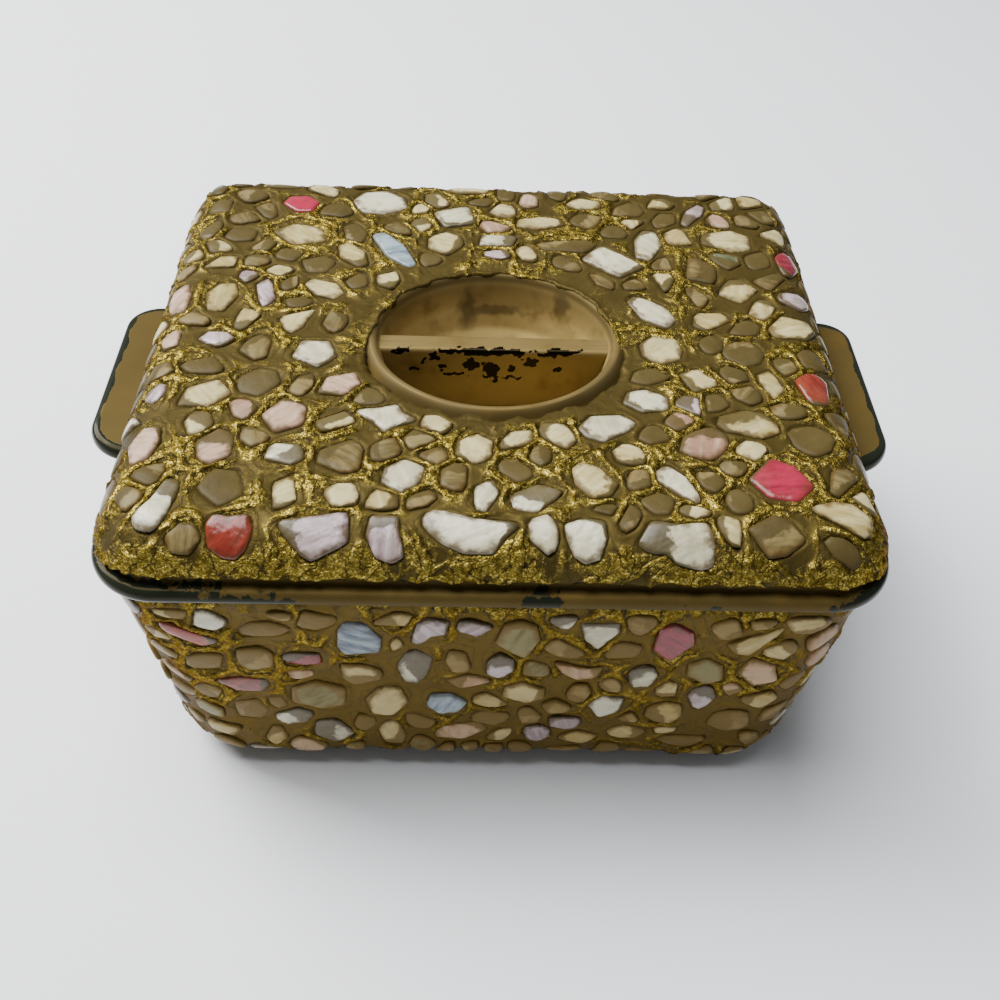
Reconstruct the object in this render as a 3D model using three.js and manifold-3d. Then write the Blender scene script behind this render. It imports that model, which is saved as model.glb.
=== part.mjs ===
// Inlaid jewelry box: a pressed glass dish with a lift-off lid, painted gold and covered
// with mortar that holds chips of sea shell. Millimetres, +Z up, origin at the bottom centre.
import * as THREE from 'three';
import { mergeVertices } from 'three/addons/utils/BufferGeometryUtils.js';
import Module from 'manifold-3d';

// Driving dimensions of the glass dish
const FOOT_TO_FLANGE = 59.4;
const WALL_TOP = { x: 65.9, y: 54.9, z: 56 };
const WALL_FOOT = { x: 60.5, y: 49.6 };
const WALL_CORNER_TOP = 10;
const WALL_CORNER_FOOT = 13;
const WALL_THICKNESS = 4.6;
const FLOOR_THICKNESS = 5;
const FLANGE_REACH = 1.2;
const EAR_TIP = 79.9;
const EAR_HALF_WIDTH = 24;
const EAR_CORNER = 8;
const EAR_THICKNESS = 3.2;
const EAR_SET_BACK = 3;
const EAR_LIFT = THREE.MathUtils.degToRad(7.5);

// Driving dimensions of the glass lid
const RIM = { x: 71.2, y: 60.2, corner: 13 };
const RIM_BOTTOM = 59.8;
const LID_TOP = 70.2;
const LID_CEILING = 66.2;
const PLUG = { x: 60.2, y: 49.2, wall: 3.2, bottom: 57 };
const SHOULDER_RADIUS = 7;
const SHOULDER_INSET = 2.8;
const WELL_RADIUS = 27.2;
const WELL_OVAL = 0.9;
const WELL_LIP = { top: 73.5, inside: 24.5, outside: 24.9, foot: 25.6 };
const WELL_FLOOR = 57;
const WELL_GLASS = 4;
const BAR = { thickness: 5, top: 71.6 };

// Driving dimensions of the mortar and the shell chips pressed into it
const GAP = 0.3;
const MORTAR = 3.1;
const LID_MORTAR_TOP = 73.6;
const LID_MORTAR_FOOT = 64.1;
const FRONT_MORTAR_FOOT = 65.8;
const WALL_MORTAR_FOOT = 2.6;
const MORTAR_UNDER_EARS = 54;
const BACK_THICKER = 0.6;
const CHIP_DEPTH = 1.1;
const CHIP_PROUD = 0.5;
const CHIP_BEVEL = 0.6;
const CHIP_SPACING = 0.8;
const SMALL_CHIPS_ON_LID = 42;
const SMALL_CHIPS_ON_WALLS = 40;
const SCATTER_TRIES = 6000;

const CORNER_STEPS = 4;
const ROUND_STEPS = 28;

// Shell colours as they show under the old varnish
const SHELL = {
  pearl: 0xe2e2da,
  cream: 0xd8cfae,
  pink: 0xcdaca0,
  rose: 0xb9405a,
  coral: 0xb2574a,
  lilac: 0xb3a3ac,
  blue: 0x5d7c8c,
  green: 0x76806c,
  taupe: 0x8f8068,
};

// The larger chips of the lid: colour, place across and along, length, width, turn, sides
const LID_CHIPS = [
  ['pearl', -58, -48.5, 12, 7, 75, 6],
  ['taupe', -52.6, -55, 5.5, 4.6, 20, 6],
  ['coral', -44.8, -54.2, 7.6, 7, 0, 7],
  ['lilac', -31, -54, 12.5, 7.6, -8, 6],
  ['lilac', -18.8, -54.2, 7, 7, 0, 6],
  ['pearl', -3, -53.6, 15.5, 8, -6, 5],
  ['pearl', 15.2, -54, 7.2, 7.4, 10, 6],
  ['pearl', 30.5, -54.2, 13.5, 7.2, -4, 6],
  ['taupe', 48, -52.6, 10, 7, 12, 6],
  ['cream', 60.2, -49.6, 10.5, 7.4, -14, 6],
  ['rose', 50.2, -39.6, 12, 8.6, -12, 4],
  ['pearl', 32, -42, 11, 5.6, -62, 6],
  ['cream', 17.4, -41, 9, 7.4, -50, 6],
  ['pearl', -16.4, -40.6, 8, 7, 60, 6],
  ['cream', -3.8, -33.4, 7.4, 6.8, 60, 6],
  ['pearl', 20.7, -27.2, 11.6, 7.6, 12, 7],
  ['pearl', 28.6, -19.4, 8.8, 6.4, -10, 6],
  ['pink', -38.8, -25.2, 9, 7, 70, 5],
  ['pearl', -20.2, -25.6, 11.2, 7, -20, 5],
  ['cream', -54.2, -20, 9.6, 6.6, 35, 5],
  ['pink', -29.6, -16.4, 8.6, 5.4, 32, 5],
  ['pearl', -35.4, -6.6, 8.4, 7.4, -50, 5],
  ['cream', 33.2, -3.6, 9, 8.2, 30, 7],
  ['cream', -56, 11.2, 10, 6.4, 85, 6],
  ['pink', -65, 11, 10.5, 5.2, 100, 6],
  ['pink', -63, -33.6, 10.5, 5.4, 85, 6],
  ['cream', -35.4, 14.6, 8.2, 5.4, -35, 6],
  ['blue', -21.6, 29.6, 15, 5, -56, 6],
  ['cream', -30.4, 27.2, 9.6, 4.8, -58, 6],
  ['cream', -42.4, 34.6, 11, 7.4, -4, 5],
  ['pearl', -25.8, 48.6, 13, 10, 0, 7],
  ['rose', -43.6, 47.4, 8, 7, -20, 6],
  ['pearl', -8.2, 43.2, 8.6, 7.4, 20, 4],
  ['cream', 10.4, 41.4, 11.5, 4.8, 3, 6],
  ['pearl', 25.8, 27, 11, 8.4, -40, 4],
  ['pearl', 32.4, 9.4, 13.5, 6, -52, 6],
  ['pearl', 34, 34, 13, 6, 80, 6],
  ['cream', 52, 36, 11, 8, -8, 6],
  ['cream', 61, 4.4, 9.6, 8, 20, 6],
];

// The larger chips of the front wall: colour, place across and up, length, width, turn, sides
const FRONT_CHIPS = [
  ['coral', -54.4, 49, 9.6, 4.8, -28, 5],
  ['blue', -24, 48.4, 9.6, 7.6, 80, 5],
  ['lilac', -11.4, 50.6, 8.4, 6, 60, 5],
  ['green', 4.6, 48.6, 12, 7, 95, 6],
  ['pearl', 19.2, 50, 7.6, 7, 90, 5],
  ['rose', 33, 48.6, 11.6, 8, 85, 7],
  ['cream', 48.4, 49, 9.4, 6.4, 35, 4],
  ['green', 40.6, 38.6, 8.6, 6.8, -60, 6],
  ['pink', 50.6, 38.4, 9.6, 6.4, -65, 5],
  ['pink', 16.4, 38.4, 9.2, 5.6, -25, 5],
  ['coral', -47, 31.8, 10.6, 5.4, -8, 6],
  ['green', -33, 27.8, 11.4, 10, 0, 6],
  ['cream', -19.8, 26, 11, 7.6, 80, 6],
  ['blue', -8.4, 25.8, 7.8, 7, -20, 6],
  ['cream', 6.8, 30, 8.2, 7.4, 0, 6],
  ['pearl', 23, 25.6, 8.4, 6, 70, 5],
  ['pink', -5.6, 14.8, 10.4, 6.2, 25, 5],
];

const GLASS_GOLD = { color: 0x8a7038, roughness: 0.42, metalness: 0.55 };
const MORTAR_GOLD = { color: 0x85713a, roughness: 0.55, metalness: 0.45 };

const wasm = await Module();
wasm.setup();
const UP = new THREE.Vector3(0, 0, 1);
const FAR_OUT = 200;

// A small repeatable series of numbers between 0 and 1
function series(seed) {
  let state = seed;
  return () => {
    state = (state + 0x6d2b79f5) | 0;
    let t = Math.imul(state ^ (state >>> 15), 1 | state);
    t = (t + Math.imul(t ^ (t >>> 7), 61 | t)) ^ t;
    return ((t ^ (t >>> 14)) >>> 0) / 4294967296;
  };
}

function toSolid(geometry) {
  const bare = geometry.clone();
  for (const name of Object.keys(bare.attributes)) {
    if (name !== 'position') bare.deleteAttribute(name);
  }
  const merged = mergeVertices(bare, 1e-4);
  const mesh = new wasm.Mesh({
    numProp: 3,
    vertProperties: new Float32Array(merged.attributes.position.array),
    triVerts: new Uint32Array(merged.index.array),
  });
  return new wasm.Manifold(mesh);
}

function toGeometry(solid) {
  const { vertProperties, triVerts } = solid.getMesh();
  const geometry = new THREE.BufferGeometry();
  geometry.setAttribute('position', new THREE.BufferAttribute(vertProperties, 3));
  geometry.setIndex(new THREE.BufferAttribute(triVerts, 1));
  return geometry;
}

// A level loop round a rectangle with rounded corners, anticlockwise seen from above
function roundedLoop({ x, y, r, z }) {
  const loop = [];
  for (let corner = 0; corner < 4; corner += 1) {
    const cx = (corner === 0 || corner === 3 ? 1 : -1) * (x - r);
    const cy = (corner < 2 ? 1 : -1) * (y - r);
    for (let step = 0; step <= CORNER_STEPS; step += 1) {
      const angle = (corner + step / CORNER_STEPS) * Math.PI / 2;
      loop.push(new THREE.Vector3(cx + r * Math.cos(angle), cy + r * Math.sin(angle), z));
    }
  }
  return loop;
}

// Joins loops of equal count into one skin. An open stack is capped by its first and
// last loops, a closed one joins the last loop back to the first.
function loft(loops, closed = false) {
  const count = loops[0].length;
  const points = loops.flat();
  const faces = [];
  const joins = closed ? loops.length : loops.length - 1;
  for (let row = 0; row < joins; row += 1) {
    const low = row * count;
    const high = ((row + 1) % loops.length) * count;
    for (let i = 0; i < count; i += 1) {
      const next = (i + 1) % count;
      faces.push(low + i, low + next, high + next);
      faces.push(low + i, high + next, high + i);
    }
  }
  if (!closed) {
    const last = (loops.length - 1) * count;
    for (let i = 1; i < count - 1; i += 1) {
      faces.push(0, i + 1, i);
      faces.push(last, last + i, last + i + 1);
    }
  }
  const geometry = new THREE.BufferGeometry();
  const positions = new Float32Array(points.flatMap((p) => [p.x, p.y, p.z]));
  geometry.setAttribute('position', new THREE.BufferAttribute(positions, 3));
  geometry.setIndex(faces);
  return geometry;
}

// A turned shape, drawn in a little from front to back as the finger well is
function turned(profile) {
  const points = profile.map(([r, z]) => new THREE.Vector2(r, z));
  const lathe = new THREE.LatheGeometry(points, ROUND_STEPS);
  return toSolid(lathe.rotateX(Math.PI / 2).scale(1, WELL_OVAL, 1));
}

// Half sizes of the dish wall at a height, moved out by a distance
function wallRow(z, out, height = z) {
  const t = z / WALL_TOP.z;
  const corner = WALL_CORNER_FOOT + (WALL_CORNER_TOP - WALL_CORNER_FOOT) * t;
  return {
    x: WALL_FOOT.x + (WALL_TOP.x - WALL_FOOT.x) * t + out,
    y: WALL_FOOT.y + (WALL_TOP.y - WALL_FOOT.y) * t + out,
    r: Math.max(corner + out, 3),
    z: height,
  };
}

// A flat handle tab, round-cornered, rising a little towards its tip
function makeEar(side) {
  const root = WALL_TOP.x - 2;
  const shape = new THREE.Shape();
  const reach = EAR_TIP - root;
  shape.moveTo(0, -EAR_HALF_WIDTH);
  shape.lineTo(reach - EAR_CORNER, -EAR_HALF_WIDTH);
  shape.absarc(reach - EAR_CORNER, EAR_CORNER - EAR_HALF_WIDTH, EAR_CORNER, -Math.PI / 2, 0);
  shape.absarc(reach - EAR_CORNER, EAR_HALF_WIDTH - EAR_CORNER, EAR_CORNER, 0, Math.PI / 2);
  shape.lineTo(0, EAR_HALF_WIDTH);
  const bevel = 1.1;
  const tab = new THREE.ExtrudeGeometry(shape, {
    depth: EAR_THICKNESS - 2 * bevel,
    bevelThickness: bevel,
    bevelSize: bevel,
    bevelOffset: -bevel,
    bevelSegments: 2,
    curveSegments: 5,
  });
  tab.translate(0, 0, bevel - EAR_THICKNESS);
  tab.rotateY(-EAR_LIFT);
  tab.translate(root, 0, FOOT_TO_FLANGE - 1.1);
  if (side < 0) tab.rotateZ(Math.PI);
  tab.translate(0, EAR_SET_BACK, 0);
  return toSolid(tab);
}

function makeDish() {
  const bottomEdge = [[0, -6], [0.9, -3.4], [3, -1.3], [6.5, -0.2]];
  const flangeTop = FOOT_TO_FLANGE;
  const inner = -WALL_THICKNESS;
  const rows = [
    ...bottomEdge.map(([z, out]) => wallRow(z, out)),
    wallRow(WALL_TOP.z, 0),
    wallRow(WALL_TOP.z, FLANGE_REACH - 0.7, WALL_TOP.z + 0.5),
    wallRow(WALL_TOP.z, FLANGE_REACH, WALL_TOP.z + 1.3),
    wallRow(WALL_TOP.z, FLANGE_REACH, flangeTop - 0.7),
    wallRow(WALL_TOP.z, FLANGE_REACH - 0.7, flangeTop),
    wallRow(WALL_TOP.z, inner + 0.4, flangeTop),
    wallRow(WALL_TOP.z, inner, flangeTop - 0.6),
    wallRow(12, inner),
    wallRow(12, inner - 1.8, FLOOR_THICKNESS + 2.2),
    wallRow(12, inner - 6, FLOOR_THICKNESS),
  ];
  const bowl = toSolid(loft(rows.map(roundedLoop)));
  const cavity = toSolid(loft(rows.slice(-4).reverse().map(roundedLoop)));
  return bowl.add(makeEar(1).add(makeEar(-1)).subtract(cavity));
}

function rimRow(inset, z) {
  return { x: RIM.x - inset, y: RIM.y - inset, r: Math.max(RIM.corner - inset, 3.5), z };
}

function shoulderRows(grow) {
  const centre = SHOULDER_INSET + SHOULDER_RADIUS;
  const height = LID_TOP - SHOULDER_RADIUS;
  return [0, 30, 60, 90].map((degrees) => {
    const angle = THREE.MathUtils.degToRad(degrees);
    const radius = SHOULDER_RADIUS + grow;
    return rimRow(centre - radius * Math.cos(angle), height + radius * Math.sin(angle));
  });
}

// The finger well, from the crest of its raised lip down to the middle of its floor
const WELL_PROFILE = [
  [WELL_LIP.inside, WELL_LIP.top],
  [23.7, WELL_LIP.top - 0.4],
  [23, WELL_LIP.top - 2],
  [22, 67],
  [20, 62.4],
  [16.6, 59.3],
  [10.5, 57.5],
  [0, WELL_FLOOR],
];

function makeLid() {
  const plugRow = (inset, z) => ({ x: PLUG.x - inset, y: PLUG.y - inset, r: 6, z });
  const rows = [
    plugRow(PLUG.wall + 5, LID_CEILING),
    plugRow(PLUG.wall + 1.4, LID_CEILING - 1.6),
    plugRow(PLUG.wall, PLUG.bottom + 0.5),
    plugRow(PLUG.wall - 0.5, PLUG.bottom),
    plugRow(0.5, PLUG.bottom),
    plugRow(0, PLUG.bottom + 0.5),
    plugRow(-0.2, RIM_BOTTOM),
    rimRow(1, RIM_BOTTOM),
    rimRow(0, RIM_BOTTOM + 0.8),
    rimRow(0, RIM_BOTTOM + 2.4),
    rimRow(1, RIM_BOTTOM + 3.2),
    ...shoulderRows(0),
  ];
  const shell = toSolid(loft(rows.map(roundedLoop)));
  const underside = WELL_PROFILE.slice(3).map(([r, z]) => [r > 0 ? r + WELL_GLASS : 0, z - WELL_GLASS]);
  const block = turned([
    [0, WELL_LIP.top],
    [WELL_LIP.outside, WELL_LIP.top],
    [WELL_LIP.foot, WELL_LIP.top - 0.4],
    [WELL_RADIUS, LID_TOP + 1.2],
    [WELL_RADIUS, LID_TOP - 1],
    [WELL_RADIUS + 1.2, LID_CEILING + 1],
    ...underside,
  ].reverse());
  const above = WELL_LIP.top + 5;
  const hollow = turned([[0, above], [WELL_LIP.inside, above], ...WELL_PROFILE].reverse());
  const half = BAR.thickness / 2;
  const section = new THREE.Shape();
  section.moveTo(-half, WELL_FLOOR - 1);
  section.lineTo(half, WELL_FLOOR - 1);
  section.lineTo(half, BAR.top - 1);
  section.lineTo(half - 1, BAR.top);
  section.lineTo(1 - half, BAR.top);
  section.lineTo(-half, BAR.top - 1);
  const bar = new THREE.ExtrudeGeometry(section, { depth: 2 * WELL_RADIUS, bevelEnabled: false });
  bar.rotateX(Math.PI / 2);
  bar.rotateZ(Math.PI / 2);
  bar.translate(-WELL_RADIUS, 0, 0);
  const grip = toSolid(bar).intersect(block);
  return shell.add(block).subtract(hollow).add(grip);
}

// The outer skin of the lid mortar. Its front and sides roll over with a large radius,
// and its back edge is squarer and thicker, as it was trowelled on.
function lidSkin() {
  const roll = { radius: 10, inset: 11.2 };
  const backRoll = { radius: 6, inset: 6 };
  const rows = [0, 20, 42, 66, 90].map((degrees) => {
    const angle = THREE.MathUtils.degToRad(degrees);
    const drop = 1 - Math.sin(angle);
    const side = roll.inset - roll.radius * Math.cos(angle);
    const back = backRoll.inset - backRoll.radius * Math.cos(angle);
    const loop = roundedLoop({
      x: RIM.x - side,
      y: RIM.y - side,
      r: RIM.corner - side * 0.6,
      z: 0,
    });
    const half = RIM.y - side;
    return loop.map((p) => {
      const toBack = THREE.MathUtils.smoothstep(p.y, half - 8, half);
      const radius = THREE.MathUtils.lerp(roll.radius, backRoll.radius, toBack);
      const lean = BACK_THICKER * p.y / RIM.y;
      const top = LID_MORTAR_TOP + lean * Math.sin(angle);
      return new THREE.Vector3(p.x, p.y + (side - back) * toBack, top - radius * drop);
    });
  });
  const foot = rows[0].map((p) => new THREE.Vector3(p.x, p.y, LID_MORTAR_FOOT));
  for (const p of rows[0]) p.z = Math.max(p.z, LID_MORTAR_FOOT + 0.4);
  return loft([foot, ...rows]);
}

function makeLidMortar(skin) {
  const glass = toSolid(loft([
    rimRow(SHOULDER_INSET - GAP, RIM_BOTTOM),
    ...shoulderRows(GAP),
  ].map(roundedLoop)));
  const mouth = turned([
    [0, LID_TOP - 2],
    [WELL_RADIUS + GAP, LID_TOP - 2],
    [WELL_RADIUS + GAP, LID_TOP + 2],
    [WELL_RADIUS + 1, LID_MORTAR_TOP + 1],
    [0, LID_MORTAR_TOP + 1],
  ]);
  const frontBand = new THREE.BoxGeometry(160, 8, 10);
  frontBand.translate(0, -RIM.y + 1, FRONT_MORTAR_FOOT - 5);
  return toSolid(skin).subtract(glass).subtract(mouth).subtract(toSolid(frontBand));
}

// The mortar stops short below the ears
function earNotch(side) {
  const depth = FOOT_TO_FLANGE - MORTAR_UNDER_EARS;
  const notch = new THREE.BoxGeometry(20, 2 * (EAR_HALF_WIDTH + GAP), depth);
  notch.translate(side * (WALL_TOP.x + 8), EAR_SET_BACK, MORTAR_UNDER_EARS + depth / 2);
  return toSolid(notch);
}

function makeWallMortar() {
  const foot = WALL_MORTAR_FOOT;
  const top = FOOT_TO_FLANGE - 0.8;
  const overFlange = FLANGE_REACH + GAP;
  const underFlange = WALL_TOP.z - GAP;
  const outer = [[foot, -0.2], [5, 1.6], [9, MORTAR], [top - 1, MORTAR], [top, MORTAR - 0.8]];
  const inner = [[top, overFlange], [underFlange, overFlange], [underFlange - 0.9, GAP], [6.4, GAP]];
  inner.push([foot, GAP - 1.4]);
  return loft([...outer, ...inner].map(([z, out]) => roundedLoop(wallRow(z, out))), true);
}

// Where a ray from outside first meets a skin: the point and the way the skin faces
function seat(skin, from, towards) {
  const ray = new THREE.Raycaster(from, towards);
  const [hit] = ray.intersectObject(skin);
  return { point: hit.point, normal: hit.face.normal.clone() };
}

const seatOnLid = (skin, x, y) => seat(skin, new THREE.Vector3(x, y, FAR_OUT), UP.clone().negate());

// The four walls are counted anticlockwise from the front
function seatOnWall(skin, side, along, z) {
  const outward = new THREE.Vector3(0, -1, 0).applyAxisAngle(UP, side * Math.PI / 2);
  const across = new THREE.Vector3(1, 0, 0).applyAxisAngle(UP, side * Math.PI / 2);
  const from = outward.clone().multiplyScalar(FAR_OUT).addScaledVector(across, along).setZ(z);
  return { ...seat(skin, from, outward.clone().negate()), across };
}

// Places a flat shape on a seat, its own X along the surface and its Z off the surface
function placement({ point, normal, across = new THREE.Vector3(1, 0, 0) }, turnDegrees) {
  const alongX = across.clone().addScaledVector(normal, -across.dot(normal)).normalize();
  const alongY = normal.clone().cross(alongX);
  const matrix = new THREE.Matrix4().makeBasis(alongX, alongY, normal).setPosition(point);
  return matrix.multiply(new THREE.Matrix4().makeRotationZ(THREE.MathUtils.degToRad(turnDegrees)));
}

// A broken chip's outline: an ellipse cut to a few uneven corners
function chipOutline(length, width, sides, random, grow = 0) {
  const outline = [];
  const fullSize = 0.97 / Math.cos(Math.PI / sides);
  for (let i = 0; i < sides; i += 1) {
    const angle = (i + 0.5 + 0.34 * (random() - 0.5)) * 2 * Math.PI / sides;
    const reach = fullSize * (1.04 - 0.12 * random());
    const x = Math.cos(angle) * (length / 2) * reach;
    const y = Math.sin(angle) * (width / 2) * reach;
    const size = Math.hypot(x, y);
    outline.push([x * (size + grow) / size, y * (size + grow) / size]);
  }
  return outline;
}

function stack(outline, levels) {
  const level = (scale, z) => outline.map(([x, y]) => new THREE.Vector3(x * scale, y * scale, z));
  return loft(levels.map(([scale, z]) => level(scale, z)));
}

// A chip's body with a worn upper edge, and the pocket that it leaves in the mortar
function makeChip([, , , length, width, turn, sides], at, number) {
  const matrix = placement(at, turn);
  const worn = 1 - CHIP_BEVEL / (Math.min(length, width) / 2);
  const body = stack(chipOutline(length, width, sides, series(number)), [
    [0.94, -CHIP_DEPTH],
    [1, CHIP_PROUD - CHIP_BEVEL * 0.7],
    [worn, CHIP_PROUD],
  ]);
  const wide = chipOutline(length, width, sides, series(number), GAP * 1.25);
  const pocket = stack(wide, [[1, -CHIP_DEPTH - GAP], [1, 3]]);
  return { body: body.applyMatrix4(matrix), pocket: toSolid(pocket.applyMatrix4(matrix)) };
}

// A small chip that stays one body with the mortar round it
function smallChip(at, size, turn, random) {
  const sides = random() < 0.5 ? 5 : 4;
  const outline = chipOutline(size * 1.1, size * 0.86, sides, random);
  return toSolid(stack(outline, [[1.08, -0.8], [0.8, 0.55]]).applyMatrix4(placement(at, turn)));
}

const reachOf = ([, , , length]) => length / 2 + GAP;

// Scatters small chips over the free places of a surface, the widest places first
function scatter(count, sizes, random, candidate, taken) {
  const found = [];
  for (let attempt = 0; attempt < SCATTER_TRIES && found.length < count; attempt += 1) {
    const wanted = THREE.MathUtils.lerp(sizes.most, sizes.least, attempt / SCATTER_TRIES);
    const place = candidate(random);
    if (!place) continue;
    const free = taken.every((t) => t.face !== place.face
      || Math.hypot(t.x - place.x, t.y - place.y) > t.reach + wanted / 2 + CHIP_SPACING);
    if (!free) continue;
    taken.push({ ...place, reach: wanted / 2 });
    found.push({ ...place, size: wanted, turn: random() * 180 });
  }
  return found;
}

const group = new THREE.Group();

function addNode(name, geometry, look) {
  const mesh = new THREE.Mesh(geometry, new THREE.MeshStandardMaterial(look));
  mesh.name = name;
  group.add(mesh);
}

const nextNumber = {};

function chipName(colour) {
  nextNumber[colour] = (nextNumber[colour] ?? 0) + 1;
  return `shell_${colour}_${String(nextNumber[colour]).padStart(2, '0')}`;
}

function addChips(list, seatOf, pockets, firstNumber) {
  list.forEach((chip, i) => {
    const { body, pocket } = makeChip(chip, seatOf(chip), firstNumber + i);
    pockets.push(pocket);
    addNode(chipName(chip[0]), body, { color: SHELL[chip[0]], roughness: 0.3, metalness: 0 });
  });
}

function addLid() {
  const skin = new THREE.Mesh(lidSkin());
  skin.geometry.computeVertexNormals();
  const pockets = [];
  addChips(LID_CHIPS, ([, x, y]) => seatOnLid(skin, x, y), pockets, 1);
  const random = series(411);
  const taken = LID_CHIPS.map((chip) => ({ face: 'lid', x: chip[1], y: chip[2], reach: reachOf(chip) }));
  const small = scatter(SMALL_CHIPS_ON_LID, { most: 7.4, least: 3.6 }, random, (draw) => {
    const x = (2 * draw() - 1) * (RIM.x - 7);
    const y = (2 * draw() - 1) * (RIM.y - 6.5);
    const toCorner = Math.hypot(
      Math.max(Math.abs(x) - RIM.x + RIM.corner, 0),
      Math.max(Math.abs(y) - RIM.y + RIM.corner, 0),
    );
    const toWell = Math.hypot(x, y / WELL_OVAL) - WELL_RADIUS;
    return toWell > 5.4 && toCorner < 8 ? { face: 'lid', x, y } : null;
  }, taken);
  let mortar = makeLidMortar(skin.geometry);
  for (const pocket of pockets) mortar = mortar.subtract(pocket);
  for (const chip of small) {
    mortar = mortar.add(smallChip(seatOnLid(skin, chip.x, chip.y), chip.size, chip.turn, random));
  }
  addNode('lid', toGeometry(makeLid()), GLASS_GOLD);
  addNode('lid_mortar', toGeometry(mortar), MORTAR_GOLD);
}

function addDish() {
  const skin = new THREE.Mesh(makeWallMortar());
  skin.geometry.computeVertexNormals();
  const pockets = [];
  addChips(FRONT_CHIPS, ([, x, z]) => seatOnWall(skin, 0, x, z), pockets, 101);
  const random = series(827);
  const taken = FRONT_CHIPS.map((chip) => ({ face: 0, x: chip[1], y: chip[2], reach: reachOf(chip) }));
  const small = scatter(SMALL_CHIPS_ON_WALLS, { most: 9, least: 4.4 }, random, (draw) => {
    const face = Math.floor(draw() * 4);
    const half = (face % 2 === 0 ? WALL_FOOT.x : WALL_FOOT.y) - 8;
    return { face, x: (2 * draw() - 1) * half, y: 14 + 37 * draw() };
  }, taken);
  let mortar = toSolid(skin.geometry).subtract(earNotch(1)).subtract(earNotch(-1));
  for (const pocket of pockets) mortar = mortar.subtract(pocket);
  for (const chip of small) {
    const at = seatOnWall(skin, chip.face, chip.x, chip.y);
    mortar = mortar.add(smallChip(at, chip.size, chip.turn, random));
  }
  addNode('dish', toGeometry(makeDish()), GLASS_GOLD);
  addNode('dish_mortar', toGeometry(mortar), MORTAR_GOLD);
}

addDish();
addLid();

export default group;
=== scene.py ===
"""The inlaid jewelry box: a gold-painted glass dish and its lift-off lid, both covered with
mortar that holds chips of sea shell. Lengths are in millimetres until a mesh is made."""

import bpy
import numpy as np
from mathutils import Matrix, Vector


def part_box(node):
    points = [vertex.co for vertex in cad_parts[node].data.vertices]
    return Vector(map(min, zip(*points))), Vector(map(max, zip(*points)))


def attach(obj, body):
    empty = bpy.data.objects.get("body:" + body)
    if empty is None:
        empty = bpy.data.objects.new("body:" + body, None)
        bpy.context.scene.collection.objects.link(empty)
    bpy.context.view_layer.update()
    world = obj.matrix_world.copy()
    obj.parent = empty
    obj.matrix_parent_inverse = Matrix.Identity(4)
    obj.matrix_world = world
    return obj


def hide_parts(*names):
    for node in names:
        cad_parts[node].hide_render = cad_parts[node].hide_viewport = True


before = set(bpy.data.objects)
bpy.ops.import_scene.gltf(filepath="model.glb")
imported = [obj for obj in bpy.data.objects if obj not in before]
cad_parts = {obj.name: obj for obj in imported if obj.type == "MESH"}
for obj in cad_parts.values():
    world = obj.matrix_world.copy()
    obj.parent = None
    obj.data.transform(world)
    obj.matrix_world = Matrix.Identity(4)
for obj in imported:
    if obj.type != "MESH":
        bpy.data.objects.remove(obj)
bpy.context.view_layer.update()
MM = 0.001


def box_of(node):
    """Lowest and highest corners of a CAD node, in millimetres."""
    return [np.array(corner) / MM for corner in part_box(node)]


# Sizes of the glass, taken from a CAD node's box where it gives them
RIM_HALF = box_of("lid")[1][:2]
RIM_CORNER = 13.0
RIM_BOTTOM = 59.8
LID_TOP = 70.2
LID_CEILING = 66.2
PLUG_HALF = np.array([60.2, 49.2])
PLUG_WALL = 3.2
PLUG_BOTTOM = 57.0
SHOULDER_RADIUS = 7.0
SHOULDER_INSET = 2.8
WELL_OVAL = 0.9
WELL_LIP = 73.5
WELL_EDGE = 27.2
BAR_HALF = 2.5
BAR_TOP = 71.6
WALL_TOP_Z = 56.0
WALL_TOP_HALF = np.array([65.9, 54.9])
WALL_FOOT_HALF = np.array([60.5, 49.6])
WALL_CORNER_TOP = 10.0
WALL_CORNER_FOOT = 13.0
WALL_GLASS = 4.6
FLANGE_TOP = 59.4
FLANGE_REACH = 1.2
EAR_TIP = box_of("dish")[1][0]
EAR_HALF_WIDTH = 24.0
EAR_CORNER = 8.0
EAR_THICKNESS = 3.2
EAR_SET_BACK = 3.0
EAR_LIFT = np.radians(7.5)
INSIDE_FOOT = 12.0
DISH_FLOOR = 5.0
BAR_FOOT = 57.2
BAR_EASE = 0.9

# Sizes of the mortar skin
MORTAR_TOP = 73.6
BACK_THICKER = 0.6
ROLL = 10.0
ROLL_INSET = 11.2
BACK_ROLL = 6.0
BACK_ROLL_INSET = 7.0
LID_MORTAR_FOOT = 64.1
FRONT_MORTAR_FOOT = 65.8
WALL_MORTAR = 3.1
WALL_MORTAR_FOOT = 2.6
WALL_MORTAR_TOP = 58.6
WALL_MORTAR_UNDER_EARS = 53.8
SPACE_AROUND = 115.8
FOOT_CURVE = 6.4
# Heights in metres between which the walls' painted shade tone sets in
WALL_SHADE_TOP = 0.061
WALL_SHADE_FOOT = 0.055
LID_CORE = RIM_HALF - RIM_CORNER
HEADINGS = np.linspace(0, 2 * np.pi, 48, endpoint=False)

# The mortar's relief: sizes of its fine, wavy, coarse and broad lumps, and its limits
LUMP_SIZES = (1.6, 3.6, 8.0, 22.0)
DEEPEST = -1.0
HIGHEST, HIGHER_IF_ROUGH = 0.38, 0.12
LID_LOOP = (206, 172, 30)
WALL_COLUMNS, WALL_ROWS = 860, 100
WALL_ROUGHNESS = 3.4

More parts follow.
